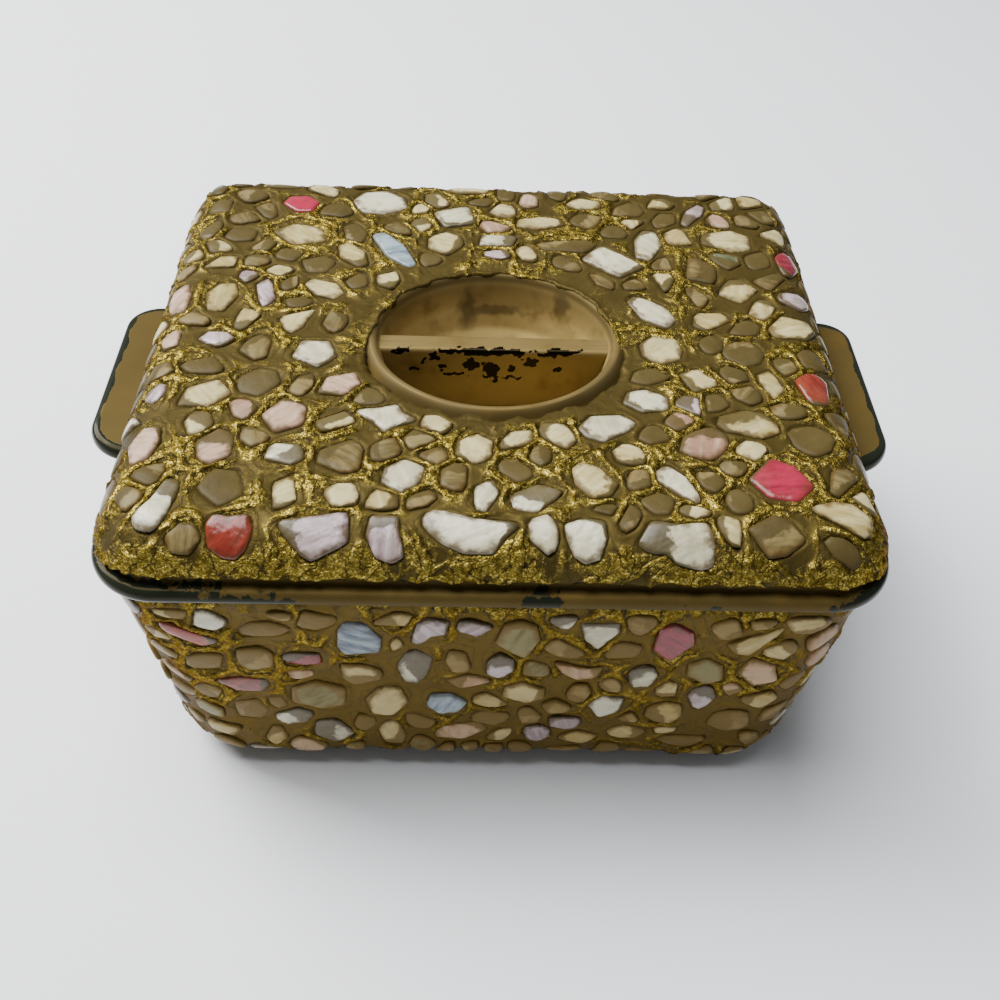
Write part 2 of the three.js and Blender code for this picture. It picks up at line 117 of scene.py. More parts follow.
# How chips are scattered: seed, throws, widest and closest spacing, gap, half size, proudness
CHIP_SEED = 17
LID_THROWS, WALL_THROWS = 9000, 12000
CHIP_SPACING = (8.8, 4.4)
CHIP_GAP = 1.15
LARGEST_HALF = 4.2
MOST_PROUD, PROUD_DRAWS = 0.35, 2000
NO_WRAP = 1e6
SHORT_STEP = 0.05
ROUND_TURN = 4 * SPACE_AROUND

# More chips of the lid, read one by one: colour, place across and along, length, width, turn
MORE_LID_CHIPS = [
    ("pearl", 7.3, -45.8, 9, 6, 15), ("cream", 24.3, -34.5, 6, 5.5, 0),
    ("cream", 39.6, -12.6, 6.5, 6, 0), ("cream", 53.5, -13, 7, 5, 90),
    ("taupe", 49.8, -4, 8, 7.6, 0), ("cream", 47.6, -25.5, 11, 8, 0),
    ("pink", 38.6, -30.6, 9, 8.4, 30), ("coral", 62.5, -14.5, 9, 6.6, 90),
    ("taupe", 58.5, -29, 8, 8, 0), ("taupe", 42.6, -46, 6, 4.4, 90),
    ("pink", -50.4, -34, 8, 6, 80), ("taupe", -47.5, -44.5, 8, 7, 90),
    ("pearl", -37.6, -35.4, 6.5, 6, 0), ("cream", -36.4, -45, 8, 4.5, 90),
    ("taupe", -27.6, -36, 8, 7.4, 0), ("cream", -26.4, -45.6, 6, 6, 0),
    ("taupe", -12.4, -46, 8.4, 5, 0), ("pearl", -1.8, -45, 7, 4, 90),
    ("taupe", -44.8, -15.5, 8, 7.6, 0), ("lilac", -54.8, -3, 6, 4.5, 0),
    ("pink", -64, -3, 6, 4.5, 90), ("taupe", -56, -11.6, 8, 5, 0),
    ("taupe", -46.6, -5.5, 8, 5, 80), ("lilac", -64, -19, 5, 4, 90),
    ("lilac", -47.3, 13, 8, 4.5, 90), ("cream", -40.4, 3.5, 9, 5, 45),
    ("cream", -49.5, 3.4, 7, 5, 90), ("taupe", -38, 23.6, 7, 5.5, 0),
    ("cream", -57.4, 22.8, 6.5, 4.5, 50), ("taupe", -55.5, 34.4, 7, 5, 0),
    ("cream", -10.6, 32.6, 8, 6.6, 90), ("cream", -16, 39.6, 5, 5, 0),
    ("pearl", 1.6, 34, 10, 4.6, 4), ("taupe", -61.5, 45.5, 6, 5, 0),
    ("cream", -5.5, 55, 9, 4.6, 0), ("cream", -49, 55.6, 9, 3.6, 0),
    ("green", -63, 53, 6, 4, 90), ("taupe", 16.4, 33.4, 12, 5, 0),
    ("cream", 21, 49.6, 8, 4.5, 0), ("pink", 8, 50.6, 6, 5, 90),
    ("cream", 38.6, 50.6, 6, 4.5, 0), ("taupe", 44.4, 24.5, 9, 6, 90),
    ("lilac", 45.6, 46.4, 10, 3.6, 60), ("cream", 51.6, 17.5, 8, 7, 0),
    ("rose", 64.6, 29, 10, 5, 90), ("lilac", 63.6, 15, 7, 6, 0),
    ("taupe", 63.6, -5.4, 7, 6, 0), ("cream", -22, 18.6, 6.4, 4.2, 90),
    ("cream", 44.4, 6.6, 7.4, 5.4, 30), ("taupe", 43.4, -1.4, 6, 4.6, 90),
]

# More chips of the front wall: colour, place across and up, length, width, turn
MORE_FRONT_CHIPS = [
    ("taupe", -41, 50.4, 9, 4.6, 0), ("rose", -35, 41, 7.4, 4, 0),
    ("pink", 59.6, 49, 7, 5, 90), ("pearl", -14, 38.4, 11, 6, 80),
    ("lilac", 1.6, 39, 8, 5, 80), ("pink", -4, 34, 7, 4, 0),
    ("pearl", 29, 36.4, 8, 5, 90), ("lilac", 41.4, 28.4, 9, 5, 90),
    ("cream", 52.6, 29, 7, 5, 0), ("taupe", -46.6, 22, 7, 6, 90),
    ("taupe", 0.4, 20.4, 6.6, 6, 0), ("lilac", 15.4, 19, 6, 5, 0),
    ("cream", 34.6, 23.6, 8, 7, 90), ("taupe", 48.6, 20, 8, 7.6, 0),
    ("cream", -19, 13.4, 9, 5, 90), ("pearl", -31, 14, 8, 6.6, 90),
    ("cream", 28.4, 15, 7, 5, 0), ("taupe", -53, 40, 7, 6, 0),
    ("taupe", -43.6, 41, 7, 7.6, 0), ("cream", -53.4, 14.6, 8, 5, 0),
    ("cream", -43, 12.4, 7, 4, 90), ("taupe", 40, 12, 9, 5, 0),
]


# Chips with an outline of their own, read one by one: how much old film covers it and from which
# side in degrees, then its corners, x and y by turns, in halves of its length and width
SHAPED_CHIPS = {
    "shell_pearl_03": (0.34, 70, [0.2, 1, 0.95, 0.85, 0.9, 0.2, 0.6, -0.5, 0.1, -1, -0.8, -0.9, -1,
        -0.5, -0.3, 0.1, 0, 0.6]),
    "shell_coral_03": (0.08, 90, [-1, 0.5, -0.7, 0.95, 0, 0.86, 0.75, 1, 1, 0.3, 0.8, -0.5, 0.35,
        -1, -0.3, -0.9, -0.85, -0.5]),
    "shell_lilac_02": (0.3, 190, [-0.95, 0.6, 0.95, 1, 1, -0.25, 0, -1, -0.3, -0.75, -0.85, 0.15]),
    "shell_lilac_03": (0.3, 110, [-0.8, 1, 0.65, 1, 0.75, 0.2, 1, -0.7, 0.4, -1, -0.45, -0.8, -1,
        0.1]),
    "shell_pearl_04": (0.06, 20, [-0.97, 0.75, -0.8, 1, -0.4, 0.85, 0, 0.6, 0.55, 0.5, 0.97, 0.42,
        0.6, -0.2, 0.35, -0.95, -0.2, -0.95, -0.65, -0.5, -0.97, 0.2]),
    "shell_pearl_05": (0.06, 60, [-0.95, 0.7, -0.1, 1, 0.9, 0.9, 1, 0.1, 0.65, -0.8, 0, -1, -0.5,
        -0.7, -0.8, 0]),
    "shell_pearl_06": (0.42, 180, [-0.6, 1, 0.1, 0.85, 0.8, 0.95, 1, 0.3, 0.95, -0.85, 0.6, -1, 0,
        -0.75, -0.25, -0.4, -0.7, -0.35, -1, -0.05]),
    "shell_taupe_02": (0.5, 120, [-0.95, 0.3, 0, 1, 0.6, 0.65, 1, -0.2, 0.3, -0.85, -0.3, -1, -0.6,
        -0.45]),
    "shell_cream_04": (0.12, 250, [-0.95, 0.6, -0.2, 1, 0.4, 0.95, 1, 0.2, 0.85, -0.75, 0.5, -1,
        -0.15, -0.45, -0.75, 0.2]),
    "shell_rose_02": (0.2, 135, [-0.95, 0, -0.15, 1, 0.55, 0.6, 1, -0.3, 0.4, -1, -0.45, -0.85]),
    "shell_pearl_07": (0.1, 20, [-0.9, 0.7, -0.3, 1, 0.5, 0.35, 1, -0.65, 0.85, -1, 0, -0.5, -0.85,
        0.15]),
    "shell_cream_05": (0.25, 0, [-0.9, 0.6, -0.5, 1, 0.2, 0.7, 1, -0.2, 0.6, -0.9, -0.2, -1, -0.8,
        -0.3]),
    "shell_pearl_09": (0.05, 200, [-0.95, 0, -0.5, 0.85, 0.5, 0.95, 1, 0.35, 0.65, -0.25, -0.2, -1,
        -0.7, -0.65]),
    "shell_pearl_11": (0.05, 0, [-1, 0.5, -0.2, 0.7, 0.3, 1, 0.5, 0.4, 1, -0.1, 0.3, -0.55, 0, -1,
        -0.35, -0.25]),
    "shell_coral_01": (0.1, 0, [-1, 0.9, -0.6, 1, 0.9, -0.3, 1, -0.7, 0.4, -1, -0.8, 0.2]),
    "shell_blue_01": (0.1, 180, [-0.9, 0.5, -0.5, 1, 0.3, 0.9, 1, 0, 0.9, -0.8, -0.7, -1, -1,
        -0.5]),
    "shell_lilac_01": (0.05, 0, [-0.7, 0.6, -0.1, 1, 0.95, 0.8, 0.8, -0.1, 0, -0.3, -0.6, -1, -1,
        -0.8]),
    "shell_green_01": (0.1, 90, [-0.6, 0.8, 0.1, 1, 0.8, 0.7, 1, 0, 0.4, -1, -0.2, -0.7, -1,
        -0.2]),
    "shell_pearl_01": (0.12, 90, [-1, 0.9, 0.9, 1, 1, 0.4, 0.3, -0.6, 0, -1, -0.7, -0.3]),
    "shell_rose_01": (0.12, 300, [-0.8, 0.7, -0.2, 1, 0.8, 0.5, 1, -0.1, 0, -1, -0.9, -0.4]),
    "shell_cream_01": (0.1, 180, [-1, -0.2, 1, 1, 0.7, 0.3, -0.1, -0.9, -0.6, -0.8]),
    "shell_pink_02": (0.2, 30, [-1, 0.9, -0.3, 0.5, 0.4, 0.3, 1, 0.5, 0.8, -0.8, 0, -1, -0.6,
        -0.3]),
    "shell_coral_02": (0.05, 0, [-1, 0.6, 0, 1, 0.8, 0.7, 1, 0, 0.7, -0.9, -0.3, -0.7]),
}


def smoothstep(value, low, high):
    """0 below low, 1 above high, and a smooth S between."""
    part = np.clip((value - low) / (high - low), 0, 1)
    return part * part * (3 - 2 * part)


def unit_ways(headings):
    """A step of length 1 in each heading."""
    return np.stack([np.cos(headings), np.sin(headings)], 1)


def lumps(points, size, seed, waves=26):
    """Smooth lumps of about one size, from -1 to 1: plane waves in random directions, added."""
    random = np.random.default_rng(seed)
    way = random.normal(size=(waves, points.shape[-1]))
    way /= np.linalg.norm(way, axis=1, keepdims=True)
    pace = 2 * np.pi / (size * random.uniform(0.7, 1.6, waves))
    phase = random.uniform(0, 2 * np.pi, waves)
    total = np.zeros(points.shape[:-1])
    for wave in range(waves):
        total += np.sin(points @ way[wave] * pace[wave] + phase[wave])
    return np.clip(total * 0.8 / np.sqrt(waves), -1, 1)


def loop_stations(front, side, corner):
    """Stations round a rounded rectangle, anticlockwise from the front left. Each has a spot
    on the rectangle of corner centres, in half sizes, and a way out from it."""
    spots, ways = [], []
    for turn in range(4):
        angle = (turn - 1) * np.pi / 2
        out = np.array([np.cos(angle), np.sin(angle)])
        along = np.array([-np.sin(angle), np.cos(angle)])
        steps = np.linspace(-1, 1, side if turn % 2 else front, endpoint=False)
        sweep = angle + np.linspace(0, np.pi / 2, corner, endpoint=False)
        spots += [out + np.outer(steps, along), np.tile(out + along, (corner, 1))]
        ways += [np.tile(out, (len(steps), 1)), np.c_[np.cos(sweep), np.sin(sweep)]]
    return np.concatenate(spots), np.concatenate(ways)


def rectangle_ring(stations, half, corner, z):
    """A level rounded rectangle: spot times (half size less corner), plus way times corner."""
    spots, ways = stations
    plan = spots * (np.asarray(half) - corner) + ways * corner
    return np.c_[plan, np.full(len(plan), z)]


def oval_ring(stations, radius, z, oval=WELL_OVAL):
    """A level oval whose points lie in the same directions as the lid's stations."""
    plan = stations[0] * LID_CORE + stations[1] * RIM_CORNER
    heading = np.arctan2(plan[:, 1] / oval, plan[:, 0])
    return np.c_[radius * np.cos(heading), radius * oval * np.sin(heading),
                 np.full(len(plan), z)]


def eased(rings, times):
    """Cuts the corners of a stack of rings: each span keeps its quarter points."""
    for _ in range(times):
        near = 0.75 * rings[:-1] + 0.25 * rings[1:]
        far = 0.25 * rings[:-1] + 0.75 * rings[1:]
        middle = np.stack([near, far], 1).reshape(-1, *rings.shape[1:])
        rings = np.concatenate([rings[:1], middle, rings[-1:]])
    return rings


def ring_faces(rows, count, wrap):
    """Quads between neighbouring rings, and from the last ring to the first if wrap."""
    row = np.arange(rows if wrap else rows - 1)[:, None]
    column = np.arange(count)[None, :]
    after = (column + 1) % count
    low, high = row * count, (row + 1) % rows * count
    quads = np.stack([low + column, low + after, high + after, high + column], -1)
    return quads.reshape(-1, 4).tolist()


def pole_faces(ring, count, pole, upward):
    """Triangles from a ring of count points to its pole."""
    here = np.arange(count)
    after = (here + 1) % count
    order = [ring + here, ring + after] if upward else [ring + after, ring + here]
    return np.stack([*order, np.full(count, pole)], -1).tolist()


def closed_stack(rings, wrap=False):
    """Points and faces of a closed skin: a stack of rings with a pole at each end, or a
    stack whose last ring joins its first."""
    rows, count = rings.shape[:2]
    points = rings.reshape(-1, 3)
    faces = ring_faces(rows, count, wrap)
    if not wrap:
        poles = np.stack([rings[0].mean(0), rings[-1].mean(0)])
        faces += pole_faces(0, count, rows * count, False)
        faces += pole_faces((rows - 1) * count, count, rows * count + 1, True)
        points = np.concatenate([points, poles])
    return points, faces


def joined(*parts):
    """Several (points, faces) pairs as one."""
    points, faces, first = [], [], 0
    for part_points, part_faces in parts:
        points.append(part_points)
        faces += [[corner + first for corner in face] for face in part_faces]
        first += len(part_points)
    return np.concatenate(points), faces


def show(name, data):
    """A new object in the scene."""
    item = bpy.data.objects.new(name, data)
    bpy.context.scene.collection.objects.link(item)
    return item


def make_piece(name, points, faces, material, values):
    """A smooth-shaded mesh in metres that rides on the box, with its named point values."""
    mesh = bpy.data.meshes.new(name)
    mesh.from_pydata((points * MM).tolist(), [], faces)
    mesh.shade_smooth()
    for key, data in values.items():
        kind, field = ("FLOAT", "value") if data.ndim == 1 else ("FLOAT_VECTOR", "vector")
        layer = mesh.attributes.new(key, kind, "POINT")
        layer.data.foreach_set(field, data.astype(np.float32).ravel())
    mesh.materials.append(material)
    piece = show(name, mesh)
    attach(piece, "root")
    return piece


def out_of_core(plan):
    """How far plan points lie outside the rectangle of corner centres, and which way."""
    beyond = np.maximum(np.abs(plan) - LID_CORE, 0)
    reach = np.hypot(beyond[..., 0], beyond[..., 1])
    return reach, np.sign(plan) * beyond / np.maximum(reach, 1e-6)[..., None]


def roll_sizes(way):
    """The rolled edge's radius and where it starts; at the back it is tighter."""
    to_back = smoothstep(way[..., 1], 0.1, 0.95)
    radius = ROLL + (BACK_ROLL - ROLL) * to_back
    return radius, RIM_CORNER - ROLL_INSET - (BACK_ROLL_INSET - ROLL_INSET) * to_back


def on_lid(place, height=0.0):
    """Lid skin. A place is a plan point with the rolled edge laid out flat: flat inside,
    then a quarter circle of the roll's radius, then straight down. Gives points, normals."""
    reach, way = out_of_core(place)
    radius, start = roll_sizes(way)
    angle = np.clip((reach - start) / radius, 0, np.pi / 2)
    fall = np.maximum(reach - start - radius * np.pi / 2, 0)
    lean = BACK_THICKER * place[..., 1] / RIM_HALF[1] * np.cos(angle)
    plan = np.minimum(reach, start) + radius * np.sin(angle)
    z = MORTAR_TOP + lean - radius * (1 - np.cos(angle)) - fall
    normal = np.concatenate([way * np.sin(angle)[..., None], np.cos(angle)[..., None]], -1)
    level = np.clip(place, -LID_CORE, LID_CORE) + way * plan[..., None]
    point = np.concatenate([level, z[..., None]], -1)
    return point + normal * np.asarray(height)[..., None], normal


def lid_place(points):
    """The place on the lid skin below or above each point: the roll's arc laid out flat."""
    plan = points[..., :2]
    reach, way = out_of_core(plan)
    radius, start = roll_sizes(way)
    rise = np.clip((reach - start) / radius, 0, 1)
    laid = np.where(reach > start, start + radius * np.arcsin(rise), reach)
    return np.clip(plan, -LID_CORE, LID_CORE) + way * laid[..., None]


def wall_section(z, out):
    """Corner radius and half sizes of the tapering dish wall at a height, moved out."""
    share = np.asarray(z) / WALL_TOP_Z
    corner = WALL_CORNER_FOOT + (WALL_CORNER_TOP - WALL_CORNER_FOOT) * share + out
    taper = (WALL_TOP_HALF - WALL_FOOT_HALF) * share[..., None]
    return corner, WALL_FOOT_HALF + taper + np.asarray(out)[..., None]


def wall_point(around, z):
    """Outer skin of the wall mortar. Around runs anticlockwise from the middle of the front:
    along each flat face, then round the corner's arc. The foot curves in."""
    foot = np.clip((z - WALL_MORTAR_FOOT) / FOOT_CURVE, 0, 1)
    out = WALL_MORTAR - (WALL_MORTAR + 0.2) * (1 - foot) ** 2
    corner, half = wall_section(z, out)
    flat = half - corner[..., None]
    plan = np.zeros(around.shape + (2,))
    for turn in range(4):
        here = (around - turn * SPACE_AROUND + 2 * SPACE_AROUND) % (ROUND_TURN)
        here = here - 2 * SPACE_AROUND
        own, following = flat[..., turn % 2], flat[..., (turn + 1) % 2]
        angle = (turn - 1) * np.pi / 2
        out_way = np.array([np.cos(angle), np.sin(angle)])
        along = np.array([-np.sin(angle), np.cos(angle)])
        on_flat = np.abs(here) <= own
        depth = half[..., (turn + 1) % 2]
        face = out_way * depth[..., None] + along * here[..., None]
        on_corner = (here > own) & (here < SPACE_AROUND - following)
        sweep = angle + (here - own) / (SPACE_AROUND - following - own) * np.pi / 2
        arc = np.stack([np.cos(sweep), np.sin(sweep)], -1) * corner[..., None]
        bend = (out_way + along) * flat + arc
        plan = np.where(on_flat[..., None], face, plan)
        plan = np.where(on_corner[..., None], bend, plan)
    return np.concatenate([plan, z[..., None]], -1)


def from_ear(around):
    """How far along the wall each place is from the middle of the nearest ear."""
    to_right = np.abs(around - SPACE_AROUND - EAR_SET_BACK)
    to_left = np.abs(around - 3 * SPACE_AROUND + EAR_SET_BACK)
    return np.minimum(to_right, to_left)


def on_wall(place, height=0.0):
    """Points and normals of the wall skin, moved off it by a height. The normal is the
    cross product of two short steps along the skin."""
    around, z = place[..., 0], place[..., 1]
    point = wall_point(around, z)
    across = wall_point(around + SHORT_STEP, z) - point
    upward = wall_point(around, z + SHORT_STEP) - point
    normal = np.cross(across, upward)
    normal /= np.linalg.norm(normal, axis=-1, keepdims=True)
    return point + normal * np.asarray(height)[..., None], normal


def reach_from_support(headings_of_edges, support):
    """Reach from the middle of a convex outline: in each heading, the nearest edge line."""
    turn = HEADINGS[:, None] - headings_of_edges[None, :]
    facing = np.cos(turn)
    reach = np.where(facing > 0.08, support[None, :] / np.maximum(facing, 0.08), np.inf)
    return reach.min(1)


def rounded(reach, softness):
    """Rounds an outline's corners: its higher harmonics fade by a bell curve."""
    order = np.fft.rfftfreq(len(reach), 1 / len(reach))
    return np.fft.irfft(np.fft.rfft(reach) * np.exp(-(order * softness) ** 2 / 2), len(reach))


def chip_from_points(places):
    """A chip's middle and reach from the places of its CAD corners: their convex hull."""
    middle = (places.max(0) + places.min(0)) / 2
    edges = np.linspace(0, 2 * np.pi, 96, endpoint=False)
    support = ((places - middle) @ unit_ways(edges).T).max(0)
    return middle, reach_from_support(edges, support)


def reach_from_corners(corners):
    """Reach from the middle of an outline with any corners: in each heading, the distance
    at which the ray crosses the edge between two neighbouring corners."""
    start = np.asarray(corners, float)
    edge = np.roll(start, -1, 0) - start
    ways = unit_ways(HEADINGS)[:, None, :]
    across = ways[..., 0] * edge[:, 1] - ways[..., 1] * edge[:, 0]
    across = np.where(np.abs(across) < 1e-9, 1e-9, across)
    reach = (start[:, 0] * edge[:, 1] - start[:, 1] * edge[:, 0]) / across
    along = (start[:, 0] * ways[..., 1] - start[:, 1] * ways[..., 0]) / across
    met = (reach > 0) & (along >= -1e-6) & (along <= 1 + 1e-6)
    return np.where(met, reach, 0).max(1)


def broken_reach(length, width, turn, random):
    """A broken chip: four to seven uneven corners near an ellipse of its length and width."""
    count = random.integers(4, 8)
    angle = (np.arange(count) + random.uniform(-0.34, 0.34, count)) * 2 * np.pi / count
    angle = angle + random.uniform(0, 2 * np.pi)
    size = random.uniform(0.88, 1.16, count) / np.cos(np.pi / count) ** 0.7
    x = np.cos(angle) * length / 2 * size
    y = np.sin(angle) * width / 2 * size
    cos, sin = np.cos(np.radians(turn)), np.sin(np.radians(turn))
    return reach_from_corners(np.c_[x * cos - y * sin, x * sin + y * cos])


def new_chip(colour, middle, reach, random, softness=0.055):
    """One chip: its colour, middle, outline, and how it lies in the mortar."""
    uneven = sum(0.022 / order * np.cos(order * HEADINGS + random.uniform(0, 2 * np.pi))
                 for order in (2, 3, 4, 5))
    chip = {
        "colour": colour,
        "middle": np.asarray(middle, float),
        "reach": rounded(reach, softness) * (1 + uneven),
        "tilt": random.normal(0, 0.022, 2),
        "rise": random.uniform(-0.12, 0.16),
        "proud": 0.0,
        "tone": random.uniform(-1, 1),
        "grain": random.uniform(0, 2 * np.pi),
        "film": random.uniform(0.3, 1.0) if colour == "taupe" else random.uniform(0, 0.62),
        "film_side": random.uniform(0, 2 * np.pi),
    }
    chip["rise"] -= 0.2 * smoothstep(chip["film"], 0.4, 0.9)
    return chip


def chips_of_nodes(names, place_of, random):
    """Chips in the places and outlines of the CAD's chip nodes."""
    found = {}
    for name in names:
        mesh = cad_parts[name].data
        flat = np.zeros(len(mesh.vertices) * 3)
        mesh.vertices.foreach_get("co", flat)
        places = place_of(flat.reshape(-1, 3) / MM)
        middle, reach = chip_from_points(places)
        chip = new_chip(name.split("_")[1], middle, reach * 1.02, random)
        chip["film"] *= 0.05 if chip["colour"] in VIVID_SHELLS else 0.4
        if name in SHAPED_CHIPS:
            film, side, corners = SHAPED_CHIPS[name]
            corners = np.array(corners, float).reshape(-1, 2)
            half = (places.max(0) - places.min(0)) / 2
            chip["reach"] = rounded(reach_from_corners(corners * half * 1.04), 0.07)
            chip["film"], chip["film_side"] = film, np.radians(side)
        found[name] = chip
    return found


def apart(one, two, period):
    """The step from place one to place two, the short way round."""
    step = two - one
    step[..., 0] = (step[..., 0] + period / 2) % period - period / 2
    return step


def outline_of(chip):
    """The places along a chip's outline."""
    return chip["middle"] + unit_ways(HEADINGS) * chip["reach"][:, None]


def fill_between(chips, borders, candidates, spacing, gap, most, colours, random, period):
    """Fills the free places with chips. Middles are thrown down and kept where they are
    clear of all outlines. Each new outline then grows to half way to its neighbours."""
    edges = np.concatenate([outline_of(chip) for chip in chips] + [borders])
    outside, _ = nearest_two(candidates, chips, period)
    middles = []
    for place, wanted, clear in zip(candidates, spacing, outside):
        if clear < 0.34 * wanted + gap:
            continue
        if np.hypot(*apart(borders, place, period).T).min() < 0.34 * wanted + 0.4:
            continue
        if middles and np.hypot(*apart(np.array(middles), place, period).T).min() < wanted:
            continue
        middles.append(place)
    middles = np.array(middles)
    names, weights = zip(*colours.items())
    drawn = random.choice(names, len(middles), p=np.array(weights) / sum(weights))
    found = []
    for index, middle in enumerate(middles):
        others = np.delete(middles, index, 0)
        to_chip = apart(middle, others, period)
        to_edge = apart(middle, edges, period)
        room = gap * random.uniform(0.7, 1.45)
        steps = np.concatenate([to_chip, to_edge])
        size = np.hypot(steps[:, 0], steps[:, 1])
        support = np.where(np.arange(len(steps)) < len(others), (size - room) / 2, size - room)
        near = size < 3 * most
        heading = np.arctan2(steps[near, 1], steps[near, 0])
        reach = reach_from_support(heading, np.maximum(support[near], 0.9))
        free = broken_reach(2 * most, most * random.uniform(0.95, 1.7),
                            random.uniform(0, 180), random)
        reach = np.minimum(reach, free)
        if reach.mean() > 1.5:
            found.append(new_chip(str(drawn[index]), middle, reach, random))
    return found


def chip_stack(chip, surface, levels, every):
    """Points, faces and values of one chip: rings of its outline at shares of its reach,
    each at a height. It lies between the skin and the flat plane that touches its middle."""
    headings, reach = HEADINGS[::every], chip["reach"][::every]
    ways = unit_ways(headings)
    shares, heights = np.array(levels).T
    offset = shares[:, None, None] * reach[None, :, None] * ways[None]
    lift = heights[:, None] + chip["rise"] + offset @ chip["tilt"]
    lift = np.clip(lift, -1.2, 0.5 + chip["proud"]) + chip["proud"]
    place = chip["middle"] + offset
    bent, _ = surface(place, lift)
    middle, level = chip["middle"][None], np.zeros(1)
    base, normal = surface(middle, level)
    ahead, aside = ((surface(middle + way, level)[0] - base) / SHORT_STEP
                    for way in ([SHORT_STEP, 0], [0, SHORT_STEP]))
    flat = base + offset[..., :1] * ahead + offset[..., 1:] * aside + normal * lift[..., None]
    points, faces = closed_stack(BENT_SHARE * bent + FLAT_SHARE * flat)
    cos, sin = np.cos(chip["grain"]), np.sin(chip["grain"])
    local = offset @ np.array([[cos, -sin], [sin, cos]])
    grain = np.concatenate([local, np.full(local.shape[:2] + (1,), chip["tone"] * 40)], -1)
    grain = np.concatenate([grain.reshape(-1, 3), [[0, 0, chip["tone"] * 40]] * 2])
    edge = np.concatenate([np.repeat(shares, len(headings)), [shares[0], shares[-1]]])
    film_way = np.array([np.cos(chip["film_side"]), np.sin(chip["film_side"])])
    cover = offset @ film_way / chip["reach"].mean() + 1.15 * (2 * chip["film"] - 1)
    ends = [cover[0].mean(), cover[-1].mean()]
    values = {
        "grain": grain,
        "edge": edge,
        "tone": np.full(len(points), chip["tone"]),
        "cover": np.concatenate([cover.ravel(), ends]),
    }
    return (points, faces), values


VIVID_SHELLS = ("rose", "coral", "blue")
BENT_SHARE, FLAT_SHARE = 0.45, 0.55
CHIP_LEVELS = [(0.98, -1.15), (1.0, -0.4), (0.97, -0.08), (0.9, 0.14), (0.8, 0.25),
               (0.6, 0.31), (0.3, 0.34), (0.08, 0.35)]
SMALL_CHIP_LEVELS = [(0.98, -1.0), (0.99, -0.2), (0.9, 0.1), (0.72, 0.24), (0.25, 0.3)]


def make_chips(name, chips, surface, material, levels, every=1):
    """One piece from several chips of one colour."""
    stacks = [chip_stack(chip, surface, levels, every) for chip in chips]
    points, faces = joined(*[stack for stack, _ in stacks])
    values = {key: np.concatenate([v[key] for _, v in stacks]) for key in stacks[0][1]}
    return make_piece(name, points, faces, material, values)


def nearest_two(places, chips, period):
    """Distances from each place to the nearest and the second nearest chip outline, below
    zero inside: the distance from the chip's middle less its reach in that heading."""
    first = np.full(len(places), 9.0)
    second = np.full(len(places), 9.0)
    for chip in chips:
        step = apart(chip["middle"], places, period)
        span = np.hypot(step[:, 0], step[:, 1])
        near = np.nonzero(span < chip["reach"].max() + 6)[0]
        heading = np.arctan2(step[near, 1], step[near, 0])
        reach = np.interp(heading, HEADINGS, chip["reach"], period=2 * np.pi)
        gap = span[near] - reach
        closer = gap < first[near]
        second[near] = np.where(closer, first[near], np.minimum(second[near], gap))
        first[near] = np.where(closer, gap, first[near])
    return first, second


def crust_relief(places, points, chips, period, seed, zone, rough):
    """Height of the mortar off its skin, with the values that its material draws from:
    beside, the distance to the nearest chip, off, the distance to the ridge's crest line,
    and gold, how much gold paint is left. A ridge runs half way between two chips."""
    first, second = nearest_two(places, chips, period)
    fine, wavy, coarse, broad = (lumps(points, size, seed + turn)
                                 for turn, size in enumerate(LUMP_SIZES))
    off = (second - first) / 2 + 0.32 * wavy
    far_from_chips = smoothstep(second, 5.0, 8.5)
    off = off * (1 - far_from_chips) + 3.2 * lumps(points, 6.5, seed + 4) * far_from_chips
    gold = np.clip(zone + 0.46 * coarse + 0.5 * broad, 0, 1)
    present = smoothstep(gold + 0.25 * wavy, 0.1, 0.5)
    crest = np.exp(-(off / (0.5 + 0.45 * gold)) ** 2) * smoothstep(first, 0.0, 0.45)
    ridge = crest * present * np.clip(0.36 + 0.26 * fine + 0.1 * wavy + 0.12 * gold, 0.08, 0.62)
    beads = (0.15 * fine + 0.1 * wavy) * gold * smoothstep(first, 0.5, 1.4)
    ground = rough * (0.1 * coarse + 0.07 * broad) * smoothstep(first, -1.0, 1.6)
    ground = ground + 0.03 * fine - 0.04
    lip = 0.1 * np.exp(-((first - 0.5) / 0.4) ** 2)
    dip = 0.26 / rough ** 0.6 * np.exp(-(np.maximum(first, 0) / 0.3) ** 2)
    height = ridge + beads + ground + lip - dip
    under = smoothstep(-first, 0.1, 0.9)
    height = height * (1 - under) - 0.85 * under
    height = np.clip(height, DEEPEST, HIGHEST + HIGHER_IF_ROUGH * rough)
    return height, {"beside": first, "off": off, "gold": gold}


def linear(*colour):
    """A screen colour, 0 to 255, as linear light with full alpha."""
    share = np.array(colour) / 255
    light = np.where(share < 0.04045, share / 12.92, ((share + 0.055) / 1.055) ** 2.4)
    return (*light.tolist(), 1.0)


